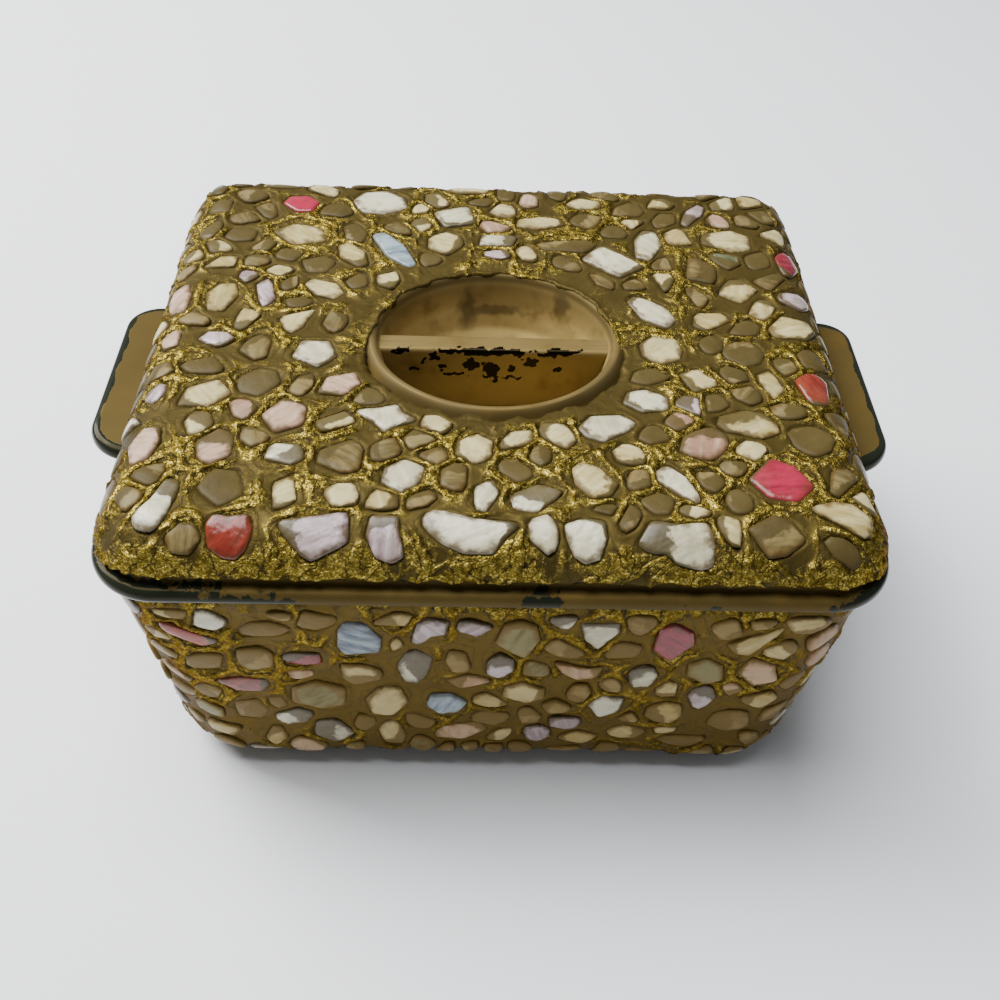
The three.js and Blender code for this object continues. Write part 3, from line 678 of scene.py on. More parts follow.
class Tree:
    """A node tree with short ways to add nodes. A value is a number, a colour or a socket."""

    def __init__(self, tree):
        self.tree = tree

    def add(self, kind, settings=None, **values):
        node = self.tree.nodes.new(kind)
        for key, value in (settings or {}).items():
            setattr(node, key, value)
        for key, value in values.items():
            socket = node.inputs[int(key[1:]) if key[1:].isdigit() else key.replace("_", " ")]
            if isinstance(value, bpy.types.NodeSocket):
                self.tree.links.new(value, socket)
            else:
                socket.default_value = value
        return node

    def maths(self, operation, one, two=0.0, clamp=False):
        settings = {"operation": operation, "use_clamp": clamp}
        return self.add("ShaderNodeMath", settings, _0=one, _1=two).outputs[0]

    def plus(self, one, two):
        return self.maths("ADD", one, two)

    def less(self, one, two, clamp=False):
        return self.maths("SUBTRACT", one, two, clamp)

    def times(self, one, two):
        return self.maths("MULTIPLY", one, two)

    def mix(self, amount, one, two):
        settings = {"data_type": "RGBA"}
        return self.add("ShaderNodeMix", settings, _0=amount, _6=one, _7=two).outputs[2]

    def step(self, value, low, high, to_low=0.0, to_high=1.0):
        """A smooth step from low to high."""
        settings = {"interpolation_type": "SMOOTHSTEP"}
        return self.add("ShaderNodeMapRange", settings, Value=value, From_Min=low,
                        From_Max=high, To_Min=to_low, To_Max=to_high).outputs[0]

    def noise(self, where, scale, detail=3.0, rough=0.55):
        return self.add("ShaderNodeTexNoise", Vector=where, Scale=scale, Detail=detail,
                        Roughness=rough).outputs[0]

    def value(self, name, output="Fac"):
        return self.add("ShaderNodeAttribute", {"attribute_name": name}).outputs[output]

    def place(self):
        return self.add("ShaderNodeTexCoord").outputs["Object"]

    def on_walls(self, where, amount=1.0):
        """The amount on the walls, where their painted shade tone goes, none on the lid."""
        height = self.add("ShaderNodeSeparateXYZ", Vector=where).outputs["Z"]
        return self.step(height, WALL_SHADE_TOP, WALL_SHADE_FOOT, 0.0, amount)

    def bump(self, strength, distance, height):
        return self.add("ShaderNodeBump", Strength=strength, Distance=distance,
                        Height=height).outputs[0]

    def feed(self, node, **values):
        """Links sockets into a node's inputs by name."""
        for key, socket in values.items():
            self.tree.links.new(socket, node.inputs[key.replace("_", " ")])


def new_group(name, inputs, outputs):
    """An empty shader node group with its sockets: (name, kind, default value)."""
    group = bpy.data.node_groups.new(name, "ShaderNodeTree")
    for label, kind, default in inputs:
        socket = group.interface.new_socket(label, in_out="INPUT", socket_type=kind)
        socket.default_value = default
    for label, kind in outputs:
        group.interface.new_socket(label, in_out="OUTPUT", socket_type=kind)
    tree = Tree(group)
    start = tree.add("NodeGroupInput")
    end = tree.add("NodeGroupOutput")
    return group, tree, start, end


def old_film_group():
    """Old brown varnish and dirt: patches from a noise tint a colour and gather where the
    Catch value is high."""
    group, tree, start, end = new_group(
        "old_film",
        [("Color", "NodeSocketColor", (1, 1, 1, 1)),
         ("Film Color", "NodeSocketColor", linear(96, 72, 38)),
         ("Catch", "NodeSocketFloat", 0.0), ("Amount", "NodeSocketFloat", 0.5),
         ("Scale", "NodeSocketFloat", 300.0)],
        [("Color", "NodeSocketColor"), ("Film", "NodeSocketFloat")])
    where = tree.place()
    patches = tree.noise(where, start.outputs["Scale"])
    level = tree.plus(patches, start.outputs["Catch"])
    edge = tree.less(1.15, start.outputs["Amount"])
    film = tree.step(level, tree.less(edge, 0.3), tree.plus(edge, 0.15))
    tinted = tree.mix(film, start.outputs["Color"], start.outputs["Film Color"])
    tree.feed(end, Color=tinted, Film=film)
    return group


def new_material(name, **plain):
    """A material with its Principled shader's plain values set."""
    material = bpy.data.materials.new(name)
    material.use_nodes = True
    shader = material.node_tree.nodes["Principled BSDF"]
    for key, value in plain.items():
        shader.inputs[key.replace("_", " ")].default_value = value
    return material, Tree(material.node_tree), shader


def gold_mortar_material(old_film):
    """Mortar under old paint: smooth olive brown film over the ground, gold on the ridges' crests
    and where gold paint is thick with painted glints in pale specks, thin dark lines beside
    ridges and chips that are partly dirt and partly painted shade, and a warm painted shade
    tone on the walls."""
    material, tree, shader = new_material("gold_mortar", Specular_IOR_Level=0.15,
                                          Specular_Tint=linear(150, 128, 74))
    where = tree.place()
    beside = tree.value("beside")
    gold_left = tree.value("gold")
    wobble = tree.noise(where, 900.0, 3.0, 0.6)
    wobble_off = tree.times(tree.less(wobble, 0.5), 1.3)
    off = tree.maths("ABSOLUTE", tree.plus(tree.value("off"), wobble_off))
    specks = tree.noise(where, 2600.0, 2.0, 0.7)
    crumbs = tree.noise(where, 760.0, 4.0, 0.65)
    patches = tree.noise(where, 130.0, 3.0)
    on_crest = tree.step(off, tree.step(gold_left, 0.2, 0.9, 0.62, 1.15), 0.2)
    thick = tree.step(tree.plus(crumbs, tree.times(gold_left, 0.5)), 0.68, 0.92)
    level = tree.times(on_crest, tree.step(gold_left, 0.08, 0.45))
    level = tree.maths("MAXIMUM", level, thick)
    gold = tree.times(level, tree.step(specks, 0.28, 0.5, 0.55, 1.0))
    ground = tree.mix(patches, linear(50, 43, 19), linear(80, 70, 38))
    ground = tree.mix(tree.times(crumbs, 0.5), ground, linear(69, 55, 22))
    # Specks of pale gold are painted glints on the gold paint.
    gold_with_painted_glints = tree.mix(tree.step(specks, 0.46, 0.74), linear(114, 97, 33), linear(202, 185, 104))
    gold_with_painted_glints = tree.mix(tree.step(crumbs, 0.56, 0.4, 0.0, 0.75), gold_with_painted_glints, linear(66, 50, 10))
    painted = tree.mix(gold, ground, gold_with_painted_glints)
    # Thin dark lines beside the ridges and the chips: partly dirt, partly painted shade in the
    # creases.
    from_crease = tree.maths("ABSOLUTE", tree.times(tree.less(off, 0.95), 4.0))
    dirt_and_shade_beside_ridge = tree.less(1.0, from_crease, True)
    dirt_and_shade_beside_ridge = tree.times(dirt_and_shade_beside_ridge, tree.step(gold_left, 0.25, 0.7, 0.3, 0.95))
    dirt_and_shade_beside_chip = tree.step(tree.plus(beside, wobble_off), 0.34, 0.0, 0.0, 0.55)
    dirt_and_shade_beside_chip = tree.times(dirt_and_shade_beside_chip, tree.step(patches, 0.36, 0.56, 0.2, 1.0))
    on_walls = tree.on_walls(where)
    dirt_and_shade_beside_chip = tree.times(dirt_and_shade_beside_chip, tree.step(on_walls, 0.0, 1.0, 1.0, 0.4))
    crease_dirt_and_shade = tree.maths("MAXIMUM", dirt_and_shade_beside_ridge, dirt_and_shade_beside_chip)
    # The walls stand in shade: their mortar gets a warm painted shade tone.
    painted = tree.mix(tree.times(on_walls, 0.5), painted, linear(112, 90, 36))
    # Near black brown where the creases are: painted shade mixed with dirt.
    colour = tree.mix(crease_dirt_and_shade, painted, linear(20, 14, 6))
    film = tree.add("ShaderNodeGroup", {"node_tree": old_film}, Color=colour,
                    Film_Color=linear(46, 36, 16), Catch=0.0, Amount=0.3, Scale=360.0)
    height = tree.plus(tree.times(level, 0.5), tree.times(gold, crumbs))
    height = tree.plus(height, tree.times(tree.times(level, specks), 0.5))
    height = tree.plus(height, tree.times(wobble, 0.18))
    height = tree.less(height, tree.times(crease_dirt_and_shade, 0.6))
    metal = tree.less(tree.step(gold, 0.1, 0.8, 0.38, 0.85), crease_dirt_and_shade, True)
    tree.feed(shader, Base_Color=film.outputs["Color"], Metallic=metal,
              Roughness=tree.step(gold, 0.0, 0.8, 0.48, 0.32),
              Normal=tree.bump(0.6, 0.0004, height))
    return material


def gold_glass_material(old_film):
    """Gold paint over dark green-grey glass. Where the worn value and a noise add up, the
    paint is gone and the glossy glass shows. Aged paint is olive brown and hardly metallic."""
    material, tree, shader = new_material("gold_glass", Specular_IOR_Level=0.2,
                                          Specular_Tint=linear(170, 150, 100))
    where = tree.place()
    worn = tree.value("worn")
    dulled = tree.value("dulled")
    aged = tree.value("aged")
    spots = tree.noise(where, 620.0, 4.0, 0.6)
    patches = tree.noise(where, 60.0, 3.0)
    gone = tree.step(tree.plus(worn, tree.times(spots, 0.9)), 0.97, 1.04)
    paint = tree.mix(patches, linear(142, 120, 68), linear(178, 155, 100))
    olive = tree.mix(patches, linear(48, 38, 14), linear(69, 56, 25))
    paint = tree.mix(aged, paint, olive)
    paint = tree.mix(tree.times(dulled, 0.8), paint, linear(84, 72, 45))
    film = tree.add("ShaderNodeGroup", {"node_tree": old_film}, Color=paint,
                    Film_Color=linear(88, 69, 32), Catch=0.0, Amount=0.4, Scale=160.0)
    bare = tree.mix(tree.step(aged, 0.6, 0.8), linear(6, 4, 2), linear(30, 34, 26))
    colour = tree.mix(gone, film.outputs["Color"], bare)
    metal = tree.times(tree.step(gone, 0.0, 1.0, 0.3, 0.0), tree.step(aged, 0.0, 1.0, 1.0, 0.7))
    tree.feed(shader, Base_Color=colour, Metallic=metal,
              Roughness=tree.step(gone, 0.0, 1.0, 0.48, 0.16),
              Normal=tree.bump(0.25, 0.0004, tree.less(patches, tree.times(gone, 0.6))))
    return material


SHELL_LOOKS = {
    "pearl": (linear(197, 191, 164), linear(172, 165, 134)),
    "cream": (linear(182, 170, 124), linear(150, 134, 84)),
    "pink": (linear(178, 151, 129), linear(139, 107, 88)),
    "rose": (linear(150, 36, 60), linear(108, 27, 40)),
    "coral": (linear(142, 54, 40), linear(100, 34, 25)),
    "lilac": (linear(180, 164, 164), linear(132, 112, 112)),
    "blue": (linear(140, 155, 160), linear(38, 60, 88)),
    "green": (linear(102, 108, 80), linear(46, 54, 36)),
    "taupe": (linear(116, 102, 66), linear(80, 68, 40)),
}
GLOSSY_SHELLS = ("pearl", "lilac", "rose", "coral", "blue")


def shell_material(colour):
    """Sea shell: two shades of one colour in soft growth lines along the grain, with a brown edge
    that is partly stained and partly painted shade. Where the cover value is high, taupe film
    lies over the shell."""
    light, dark = SHELL_LOOKS[colour]
    glossy, vivid = colour in GLOSSY_SHELLS, colour in VIVID_SHELLS
    material, tree, shader = new_material(
        "shell_" + colour, Coat_Weight=0.2 if glossy else 0.0, Coat_Roughness=0.12,
        Specular_IOR_Level=0.26 if glossy else 0.08)
    where = tree.place()
    grain = tree.value("grain", "Vector")
    edge = tree.value("edge")
    tone = tree.value("tone")
    cover = tree.value("cover")
    stretched = tree.add("ShaderNodeMapping", Vector=grain, Scale=(0.16, 0.7, 0.6)).outputs[0]
    lines = tree.noise(stretched, 1.0, 3.0, 0.55)
    waves = tree.noise(grain, 0.3, 2.0)
    shade = tree.step(tree.plus(lines, tree.times(tone, 0.16)), 0.26, 0.7)
    body = tree.mix(shade, dark, light)
    cloud = tree.step(tree.noise(grain, 0.26, 3.0), 0.47, 0.66, 0.0, 0.1 if vivid else 0.3)
    body = tree.mix(cloud, body, linear(112, 108, 78))
    # A brown rim on each chip, partly stained and partly painted shade.
    edge_stain_and_shade = tree.step(tree.plus(edge, tree.noise(where, 420.0)), 1.12, 1.5, 0.0,
                      0.4 if vivid else 0.85)
    body = tree.mix(edge_stain_and_shade, body, linear(74, 56, 26))
    ragged = tree.plus(tree.noise(where, 190.0), tree.times(tree.noise(where, 800.0), 0.4))
    over_edge = tree.step(edge, 0.72, 1.0, 0.0, 0.25 if vivid else 0.62)
    level = tree.plus(tree.plus(cover, over_edge), tree.times(ragged, 1.3))
    from_level, to_level = (0.96, 1.2) if vivid else (0.82, 1.06)
    film = tree.step(level, from_level, to_level, 0.0, 0.92)
    film_colour = tree.mix(tree.noise(where, 130.0), linear(50, 42, 20), linear(84, 72, 40))
    toned = tree.mix(film, body, film_colour)
    # On the walls the shell takes a warm painted shade tone.
    toned = tree.mix(tree.on_walls(where, 0.03 if glossy else 0.24), toned,
                     linear(170, 136, 66))
    height = tree.plus(tree.times(lines, 0.35), tree.times(waves, 1.2))
    height = tree.plus(height, tree.times(film, 0.35))
    tree.feed(shader, Base_Color=toned,
              Roughness=tree.step(film, 0.0, 0.92, 0.2 if glossy else 0.3, 0.4),
              Normal=tree.bump(0.6 if glossy else 0.35, 0.0005, height))
    return material


def well_rings(stations, steps):
    """The finger well from its lip's outer foot over the crest to the middle of its floor."""
    profile = [(WELL_EDGE, LID_TOP + 1.2), (25.6, WELL_LIP - 0.4), (24.9, WELL_LIP),
               (24.4, WELL_LIP), (23.7, WELL_LIP - 0.4), (23.0, WELL_LIP - 2), (22.0, 67.0),
               (20.0, 62.4), (16.6, 59.3), (10.5, 57.5), (0.4, 57.0)]
    r, z = np.array(profile).T
    spread = np.r_[0, np.cumsum(np.hypot(np.diff(r), np.diff(z)))]
    at = np.linspace(0, spread[-1], steps)
    r, z = np.interp(at, spread, r), np.interp(at, spread, z)
    soft = np.array([1, 2, 3, 2, 1]) / 9
    r[2:-2], z[2:-2] = np.convolve(r, soft, "valid"), np.convolve(z, soft, "valid")
    return np.stack([oval_ring(stations, *pair) for pair in zip(r, z)])


def lid_rings(stations):
    """The glass lid from under the well, by the plug, rim and shoulder, into the well."""
    def plug(inset, z):
        return rectangle_ring(stations, PLUG_HALF - inset, 6.0, z)

    def rim(inset, z):
        return rectangle_ring(stations, RIM_HALF - inset, max(RIM_CORNER - inset, 3.5), z)

    under = [oval_ring(stations, r, z) for r, z in
             ((0.4, 53.0), (14.5, 53.5), (20.6, 55.3), (24.0, 58.4), (26.0, 63.0),
              (27.6, LID_CEILING))]
    lower = [plug(PLUG_WALL + 5, LID_CEILING), plug(PLUG_WALL + 1.4, LID_CEILING - 1.6),
             plug(PLUG_WALL, PLUG_BOTTOM + 0.5), plug(PLUG_WALL - 0.5, PLUG_BOTTOM),
             plug(0.5, PLUG_BOTTOM), plug(0, PLUG_BOTTOM + 0.5), plug(-0.2, RIM_BOTTOM)]
    bead = [rim(1, RIM_BOTTOM), rim(0, RIM_BOTTOM + 0.8), rim(0, RIM_BOTTOM + 2.4),
            rim(1, RIM_BOTTOM + 3.2)]
    centre = SHOULDER_INSET + SHOULDER_RADIUS
    turns = np.linspace(0, np.pi / 2, 9)
    shoulder = [rim(centre - SHOULDER_RADIUS * np.cos(turn),
                    LID_TOP - SHOULDER_RADIUS + SHOULDER_RADIUS * np.sin(turn)) for turn in turns]
    outside = np.stack([*under, *lower, *bead, *shoulder, oval_ring(stations, WELL_EDGE, LID_TOP)])
    return eased(outside, 2), well_rings(stations, 110)


def bar_rings():
    """The finger bar: level rings a little longer than the well is wide, so that the ends
    are in the glass, with a rounded top edge."""
    stations = loop_stations(150, 10, 4)
    shoulder = BAR_TOP - BAR_EASE
    rounding = BAR_EASE * np.sin(np.linspace(0.3, np.pi / 2, 5))
    z = np.r_[np.linspace(BAR_FOOT, shoulder, 46), shoulder + rounding]
    inset = BAR_EASE - np.sqrt(np.maximum(BAR_EASE ** 2 - np.maximum(z - shoulder, 0) ** 2, 0))
    length = np.interp(z, [BAR_FOOT, 59.3, 62.4, 67, 71.6], [12, 17.6, 21, 23.2, 24.2])
    rings = [rectangle_ring(stations, (reach, BAR_HALF - cut), 0.7, level)
             for reach, cut, level in zip(length, inset, z)]
    lid_top = rings[-1].copy()
    inner = [np.c_[lid_top[:, 0], lid_top[:, 1] * share, lid_top[:, 2]] for share in (0.6, 0.2)]
    return np.stack([*rings, *inner])


# Black wear on the bar, listed: place along it, height, half length, half height
BAR_WEAR = [(-1.5, 71.3, 6.6, 0.6), (-9.6, 71.4, 2.2, 0.4), (11.4, 71.1, 2.4, 0.5),
            (15.8, 71.5, 1.2, 0.4), (-4.8, 67.9, 0.9, 1.0), (-0.7, 66.7, 1.2, 1.5),
            (0.4, 64.3, 0.7, 0.8), (-7.8, 65.5, 1.8, 0.4), (-10.2, 67.0, 0.5, 0.6),
            (-14.4, 68.7, 0.5, 0.5), (3.5, 67.2, 0.6, 0.4), (-16.2, 66.9, 0.5, 0.4),
            (12.8, 67.2, 0.4, 0.4), (3.2, 65.0, 1.4, 0.3), (-12.0, 69.8, 0.5, 0.7),
            (7.6, 68.8, 1.0, 0.7), (5.6, 70.4, 0.6, 0.8), (-18.6, 71.4, 1.2, 0.5)]
# Bare glass on the front of the rim, measured as for the bar
RIM_WEAR = [(-60, 61.4, 13, 1.9), (-43, 60.9, 9, 1.3), (7.3, 61.8, 3.4, 1.2), (66, 61.4, 7, 2.0),
            (-27, 64.6, 1.6, 0.5), (-22, 64.9, 1.0, 0.4), (-14, 64.5, 2.4, 0.5),
            (-9, 64.8, 0.9, 0.5), (14, 64.6, 1.8, 0.4), (24, 64.9, 1.4, 0.5), (31, 64.4, 0.8, 0.4),
            (38, 61.2, 1.6, 0.5), (47, 64.6, 1.0, 0.4)]
# Grey streaks on the far side of the well: place across, height, half width, half height
WELL_STREAKS = [(-5.4, 66.5, 1.5, 3.4), (0.4, 66.0, 5.2, 0.8), (14.2, 70.2, 1.3, 2.6)]


def spots_at(across, up, spots):
    """1 inside any of the oval spots, falling to 0 outside."""
    level = np.zeros(len(across))
    for x, z, wide, high in spots:
        level = np.maximum(level, 1.7 - np.hypot((across - x) / wide, (up - z) / high))
    return np.clip(level, 0, 1)


def make_glass_lid(material):
    """The lid's glass, with the well and the bar, and where its paint is worn."""
    stations = loop_stations(150, 120, 22)
    outside, well = lid_rings(stations)
    body = closed_stack(np.concatenate([outside, well]))
    bar = closed_stack(bar_rings())
    points, faces = joined(body, bar)
    x, y, z = points.T
    on_rim = (z > RIM_BOTTOM - 0.1) & ((np.abs(x) > 40) | (np.abs(y) > 45))
    patch = lumps(points, 16.0, 5) * 0.5 + lumps(points, 5.0, 6) * 0.28
    bare = spots_at(x + 1.4 * lumps(points, 4.0, 15), z + 0.4 * lumps(points, 2.0, 16), RIM_WEAR)
    elsewhere = smoothstep(y, -50, -30) * (z < RIM_BOTTOM + 3.4) * (0.3 + 0.4 * patch)
    rim_wear = np.maximum(0.3 + 0.16 * patch + 0.5 * bare * (y < -30), elsewhere)
    worn = np.where(on_rim, rim_wear, 0.0)
    on_bar = np.arange(len(points)) >= len(body[0])
    front_face = on_bar & (y < -1.75 + 0.5 * lumps(points, 2.4, 10))
    ragged = 0.35 * lumps(points, 1.1, 9)
    marks = spots_at(x + 0.7 * lumps(points, 1.6, 7), z + 0.5 * lumps(points, 1.4, 8), BAR_WEAR)
    worn = np.where(front_face, 0.34 + (marks > 0.1) * (0.7 * marks + ragged), worn)
    worn = np.where(on_bar & ~front_face, 0.36, worn)
    in_well = ~on_bar & (np.hypot(x, y / WELL_OVAL) < 25) & (z > 56.5)
    worn = np.where(in_well, 0.16, worn)
    streaks = spots_at(x + 0.5 * lumps(points, 2.0, 11), z + 0.5 * lumps(points, 2.0, 12),
                       WELL_STREAKS)
    dulled = np.where(in_well & (y > 2), streaks, np.where(on_bar, 0.5, 0))
    lip = smoothstep(z, WELL_LIP - 2, WELL_LIP - 0.4) * ~on_bar
    dulled = np.maximum(dulled, 0.8 * lip + 0.2 * lip * lumps(points, 9.0, 13))
    upper = smoothstep(z, 66.0, 72.0) * smoothstep(y, -4, 6) * in_well
    off_bar = np.where(in_well, 0.04 + 0.46 * upper, 0.9)
    aged = np.where(on_bar, 0.28 + 0.24 * (z > BAR_TOP - 0.8), off_bar) + 0.5 * lip
    piece = make_piece("glass_lid", points, faces, material,
                       {"worn": worn, "dulled": np.clip(dulled, 0, 1), "aged": np.clip(aged, 0, 1)})
    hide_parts("lid")


def wall_ring(stations, z, out, height=None):
    """A ring of the dish wall at a height, moved out by a distance."""
    corner, half = wall_section(z, out)
    return rectangle_ring(stations, half, max(corner, 3.0), z if height is None else height)


def ear_stack(side):
    """A flat handle tab: rings of a rounded rectangle with eased edges, lifted at its tip."""
    root = WALL_TOP_HALF[0] - 2
    reach = (EAR_TIP - root) / np.cos(EAR_LIFT) - 0.4
    stations = loop_stations(20, 60, 12)
    rows = [(1.3, 0.0), (0.4, 0.25), (0.0, 1.0), (0.0, EAR_THICKNESS - 1.0),
            (0.4, EAR_THICKNESS - 0.25), (1.3, EAR_THICKNESS)]
    rings = np.stack([rectangle_ring(stations, (reach - cut, EAR_HALF_WIDTH - cut),
                                     EAR_CORNER - cut, z - EAR_THICKNESS) for cut, z in rows])
    inner = [rectangle_ring(stations, (reach - cut, EAR_HALF_WIDTH - cut), EAR_CORNER - cut, 0.0)
             for cut in (1.6, 1.9, 2.3, 2.8, 4.0, 6.0)]
    rings = np.concatenate([eased(rings, 2), inner])
    x, z = rings[..., 0].copy(), rings[..., 2].copy()
    rings[..., 0] = root + x * np.cos(EAR_LIFT) - z * np.sin(EAR_LIFT)
    rings[..., 2] = FLANGE_TOP - 1.1 + x * np.sin(EAR_LIFT) + z * np.cos(EAR_LIFT)
    if side < 0:
        rings[..., :2] *= -1
    rings[..., 1] += EAR_SET_BACK
    return closed_stack(rings)


def make_glass_dish(material):
    """The dish's glass: foot, wall, flange, the empty inside, and the two ears."""
    stations = loop_stations(110, 90, 16)
    inner = -WALL_GLASS
    flange = [(FLANGE_REACH - 0.7, WALL_TOP_Z + 0.5), (FLANGE_REACH, WALL_TOP_Z + 1.3),
              (FLANGE_REACH, FLANGE_TOP - 0.7), (FLANGE_REACH - 0.7, FLANGE_TOP),
              (inner + 0.4, FLANGE_TOP), (inner, FLANGE_TOP - 0.6)]
    sections = [(0, -6), (0.9, -3.4), (3, -1.3), (6.5, -0.2), (WALL_TOP_Z, 0),
                *[(WALL_TOP_Z, *pair) for pair in flange],
                (INSIDE_FOOT, inner), (INSIDE_FOOT, inner - 1.8, DISH_FLOOR + 2.2),
                (INSIDE_FOOT, inner - 6, DISH_FLOOR)]
    rings = np.stack([wall_ring(stations, *section) for section in sections])
    body = closed_stack(eased(rings, 2))
    points, faces = joined(body, ear_stack(1), ear_stack(-1))
    x, y, z = points.T
    patch = 0.3 * lumps(points, 9.0, 21) + 0.25 * lumps(points, 3.0, 22)
    corner = np.stack([np.abs(x) - EAR_TIP, np.abs(y - EAR_SET_BACK) - EAR_HALF_WIDTH], 1)
    corner = corner + EAR_CORNER
    in_corner = np.hypot(*np.maximum(corner, 0).T)
    from_edge = EAR_CORNER - np.where(corner.min(1) > 0, in_corner, corner.max(1))
    at_edge = smoothstep(from_edge + 0.4 * lumps(points, 7.0, 23), 2.3, 1.4)
    on_ear = (np.arange(len(points)) >= len(body[0])) & (np.abs(x) > 69.5)
    worn = np.where(on_ear, 0.2 + 0.8 * at_edge, 0.24 + 0.6 * patch)
    piece = make_piece("glass_dish", points, faces, material,
                       {"worn": worn, "dulled": np.zeros(len(points)),
                        "aged": np.full(len(points), 0.9)})
    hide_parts("dish")


FLAT_ROWS = 66
ROLL_ROWS = 34


def make_lid_crust(chips, material):
    """The lid's mortar: places run from the well's edge out to the flat's border and on over
    the roll to the foot. The edge at the well laps unevenly over the glass lip."""
    stations = loop_stations(*LID_LOOP)
    spots, ways = stations
    to_front = smoothstep(-ways[:, 1], 0.5, 0.97)
    radius, start = roll_sizes(ways)
    border = spots * LID_CORE + ways * start[:, None]
    heading = np.arctan2(border[:, 1] / WELL_OVAL, border[:, 0])
    circle = np.stack([np.cos(heading), WELL_OVAL * np.sin(heading)], 1)
    rim = circle * WELL_EDGE
    edge = WELL_EDGE - 0.2 - 3.0 * smoothstep(np.sin(heading), -0.5, 0.2)
    edge = edge + 0.4 * lumps(rim, 6.0, 31) + 0.12 * lumps(rim, 2.4, 32)
    mouth = circle * (edge + 1.7)[:, None]
    share = np.linspace(0, 1, FLAT_ROWS)[:, None, None]
    flat = mouth + (border - mouth) * share
    foot = LID_MORTAR_FOOT + (FRONT_MORTAR_FOOT - LID_MORTAR_FOOT) * to_front
    foot = foot + 0.5 * lumps(border, 6.0, 33) * to_front
    drop = MORTAR_TOP - foot
    curved = np.arccos(np.clip(1 - drop / radius, 0, 1)) * radius
    length = curved + np.maximum(drop - radius, 0)
    over = np.linspace(0, 1, ROLL_ROWS + 1)[1:, None] * length
    rolled = spots * LID_CORE + ways * (start + over)[..., None]
    places = np.concatenate([flat, rolled])
    base, normal = on_lid(places)
    x, y = places[..., 0], places[..., 1]
    zone = 0.4 - 0.2 * smoothstep(y, -30, 10) + 0.12 * smoothstep(x, 20, -30)
    zone = zone + 0.5 * smoothstep(-y, 54, 59)
    zone = zone - 0.7 * smoothstep(np.hypot(x, y / WELL_OVAL), 32, 28) * smoothstep(-y, 0, 12)
    height, values = crust_relief(places.reshape(-1, 2), base.reshape(-1, 3), chips, NO_WRAP, 40,
                                  zone.ravel(), 1.0)
    height = height.reshape(base.shape[:2])
    height[:FLAT_ROWS] -= 0.2 * smoothstep(share[..., 0] * 20, 1.2, 0.0)
    skin = base + normal * height[..., None]
    slope = np.minimum(LID_TOP + 1.2 + (WELL_EDGE - edge) * 1.05, WELL_LIP - 0.15)
    inner = [np.c_[circle * (edge + cut)[:, None], z] for cut, z in
             ((0.3, np.full(len(edge), LID_TOP)), (0.0, slope - 0.2), (0.2, slope + 0.7),
              (0.75, np.minimum(slope + 1.4, MORTAR_TOP - 0.05)))]
    foot_ring = spots * LID_CORE + ways * (RIM_CORNER - SHOULDER_INSET - 0.6)
    under = [np.c_[foot_ring, foot - 0.35],
             np.c_[spots * LID_CORE + ways * 3.6, np.full(len(spots), LID_TOP - 0.6)]]
    rings = np.concatenate([np.stack(inner), skin, np.stack(under)])
    values = {key: np.pad(data.reshape(base.shape[:2]), ((4, 2), (0, 0)), "edge")[::-1].ravel()
              for key, data in values.items()}
    points, faces = closed_stack(rings[::-1], wrap=True)
    piece = make_piece("lid_crust", points, faces, material, values)
    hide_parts("lid_mortar")


def make_wall_crust(chips, material):
    """The walls' mortar: rows of places from the foot to the top, lower under the ears."""
    around = np.linspace(0, ROUND_TURN, WALL_COLUMNS, endpoint=False)
    under_ear = smoothstep(from_ear(around), EAR_HALF_WIDTH + 2.2, EAR_HALF_WIDTH + 0.8)
    top = WALL_MORTAR_TOP + (WALL_MORTAR_UNDER_EARS - WALL_MORTAR_TOP) * under_ear
    share = np.linspace(0, 1, WALL_ROWS)[:, None]
    z = WALL_MORTAR_FOOT + (top - WALL_MORTAR_FOOT) * share
    places = np.stack([np.broadcast_to(around, z.shape), z], -1)
    base, normal = on_wall(places)
    zone = 0.12 + 0.5 * smoothstep(z, 51, 56)
    height, values = crust_relief(places.reshape(-1, 2), base.reshape(-1, 3), chips,
                                  ROUND_TURN, 60, zone.ravel(), WALL_ROUGHNESS)
    height = height.reshape(z.shape)
    rim = smoothstep(share, 0.975, 1.0) + smoothstep(share, 0.02, 0.0)
    height = height * (1 - rim) - 0.5 * rim
    skin = base + normal * height[..., None]
    back_top = base[-1] - normal[-1] * np.where(under_ear > 0.5, 3.0, 1.9)[:, None]
    back_foot = base[0] - normal[0] * 1.2
    rings = np.concatenate([back_foot[None], skin, back_top[None]])
    values = {key: np.pad(data.reshape(z.shape), ((1, 1), (0, 0)), "edge").ravel()
              for key, data in values.items()}
    points, faces = closed_stack(rings, wrap=True)
    piece = make_piece("dish_crust", points, faces, material, values)
    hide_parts("dish_mortar")


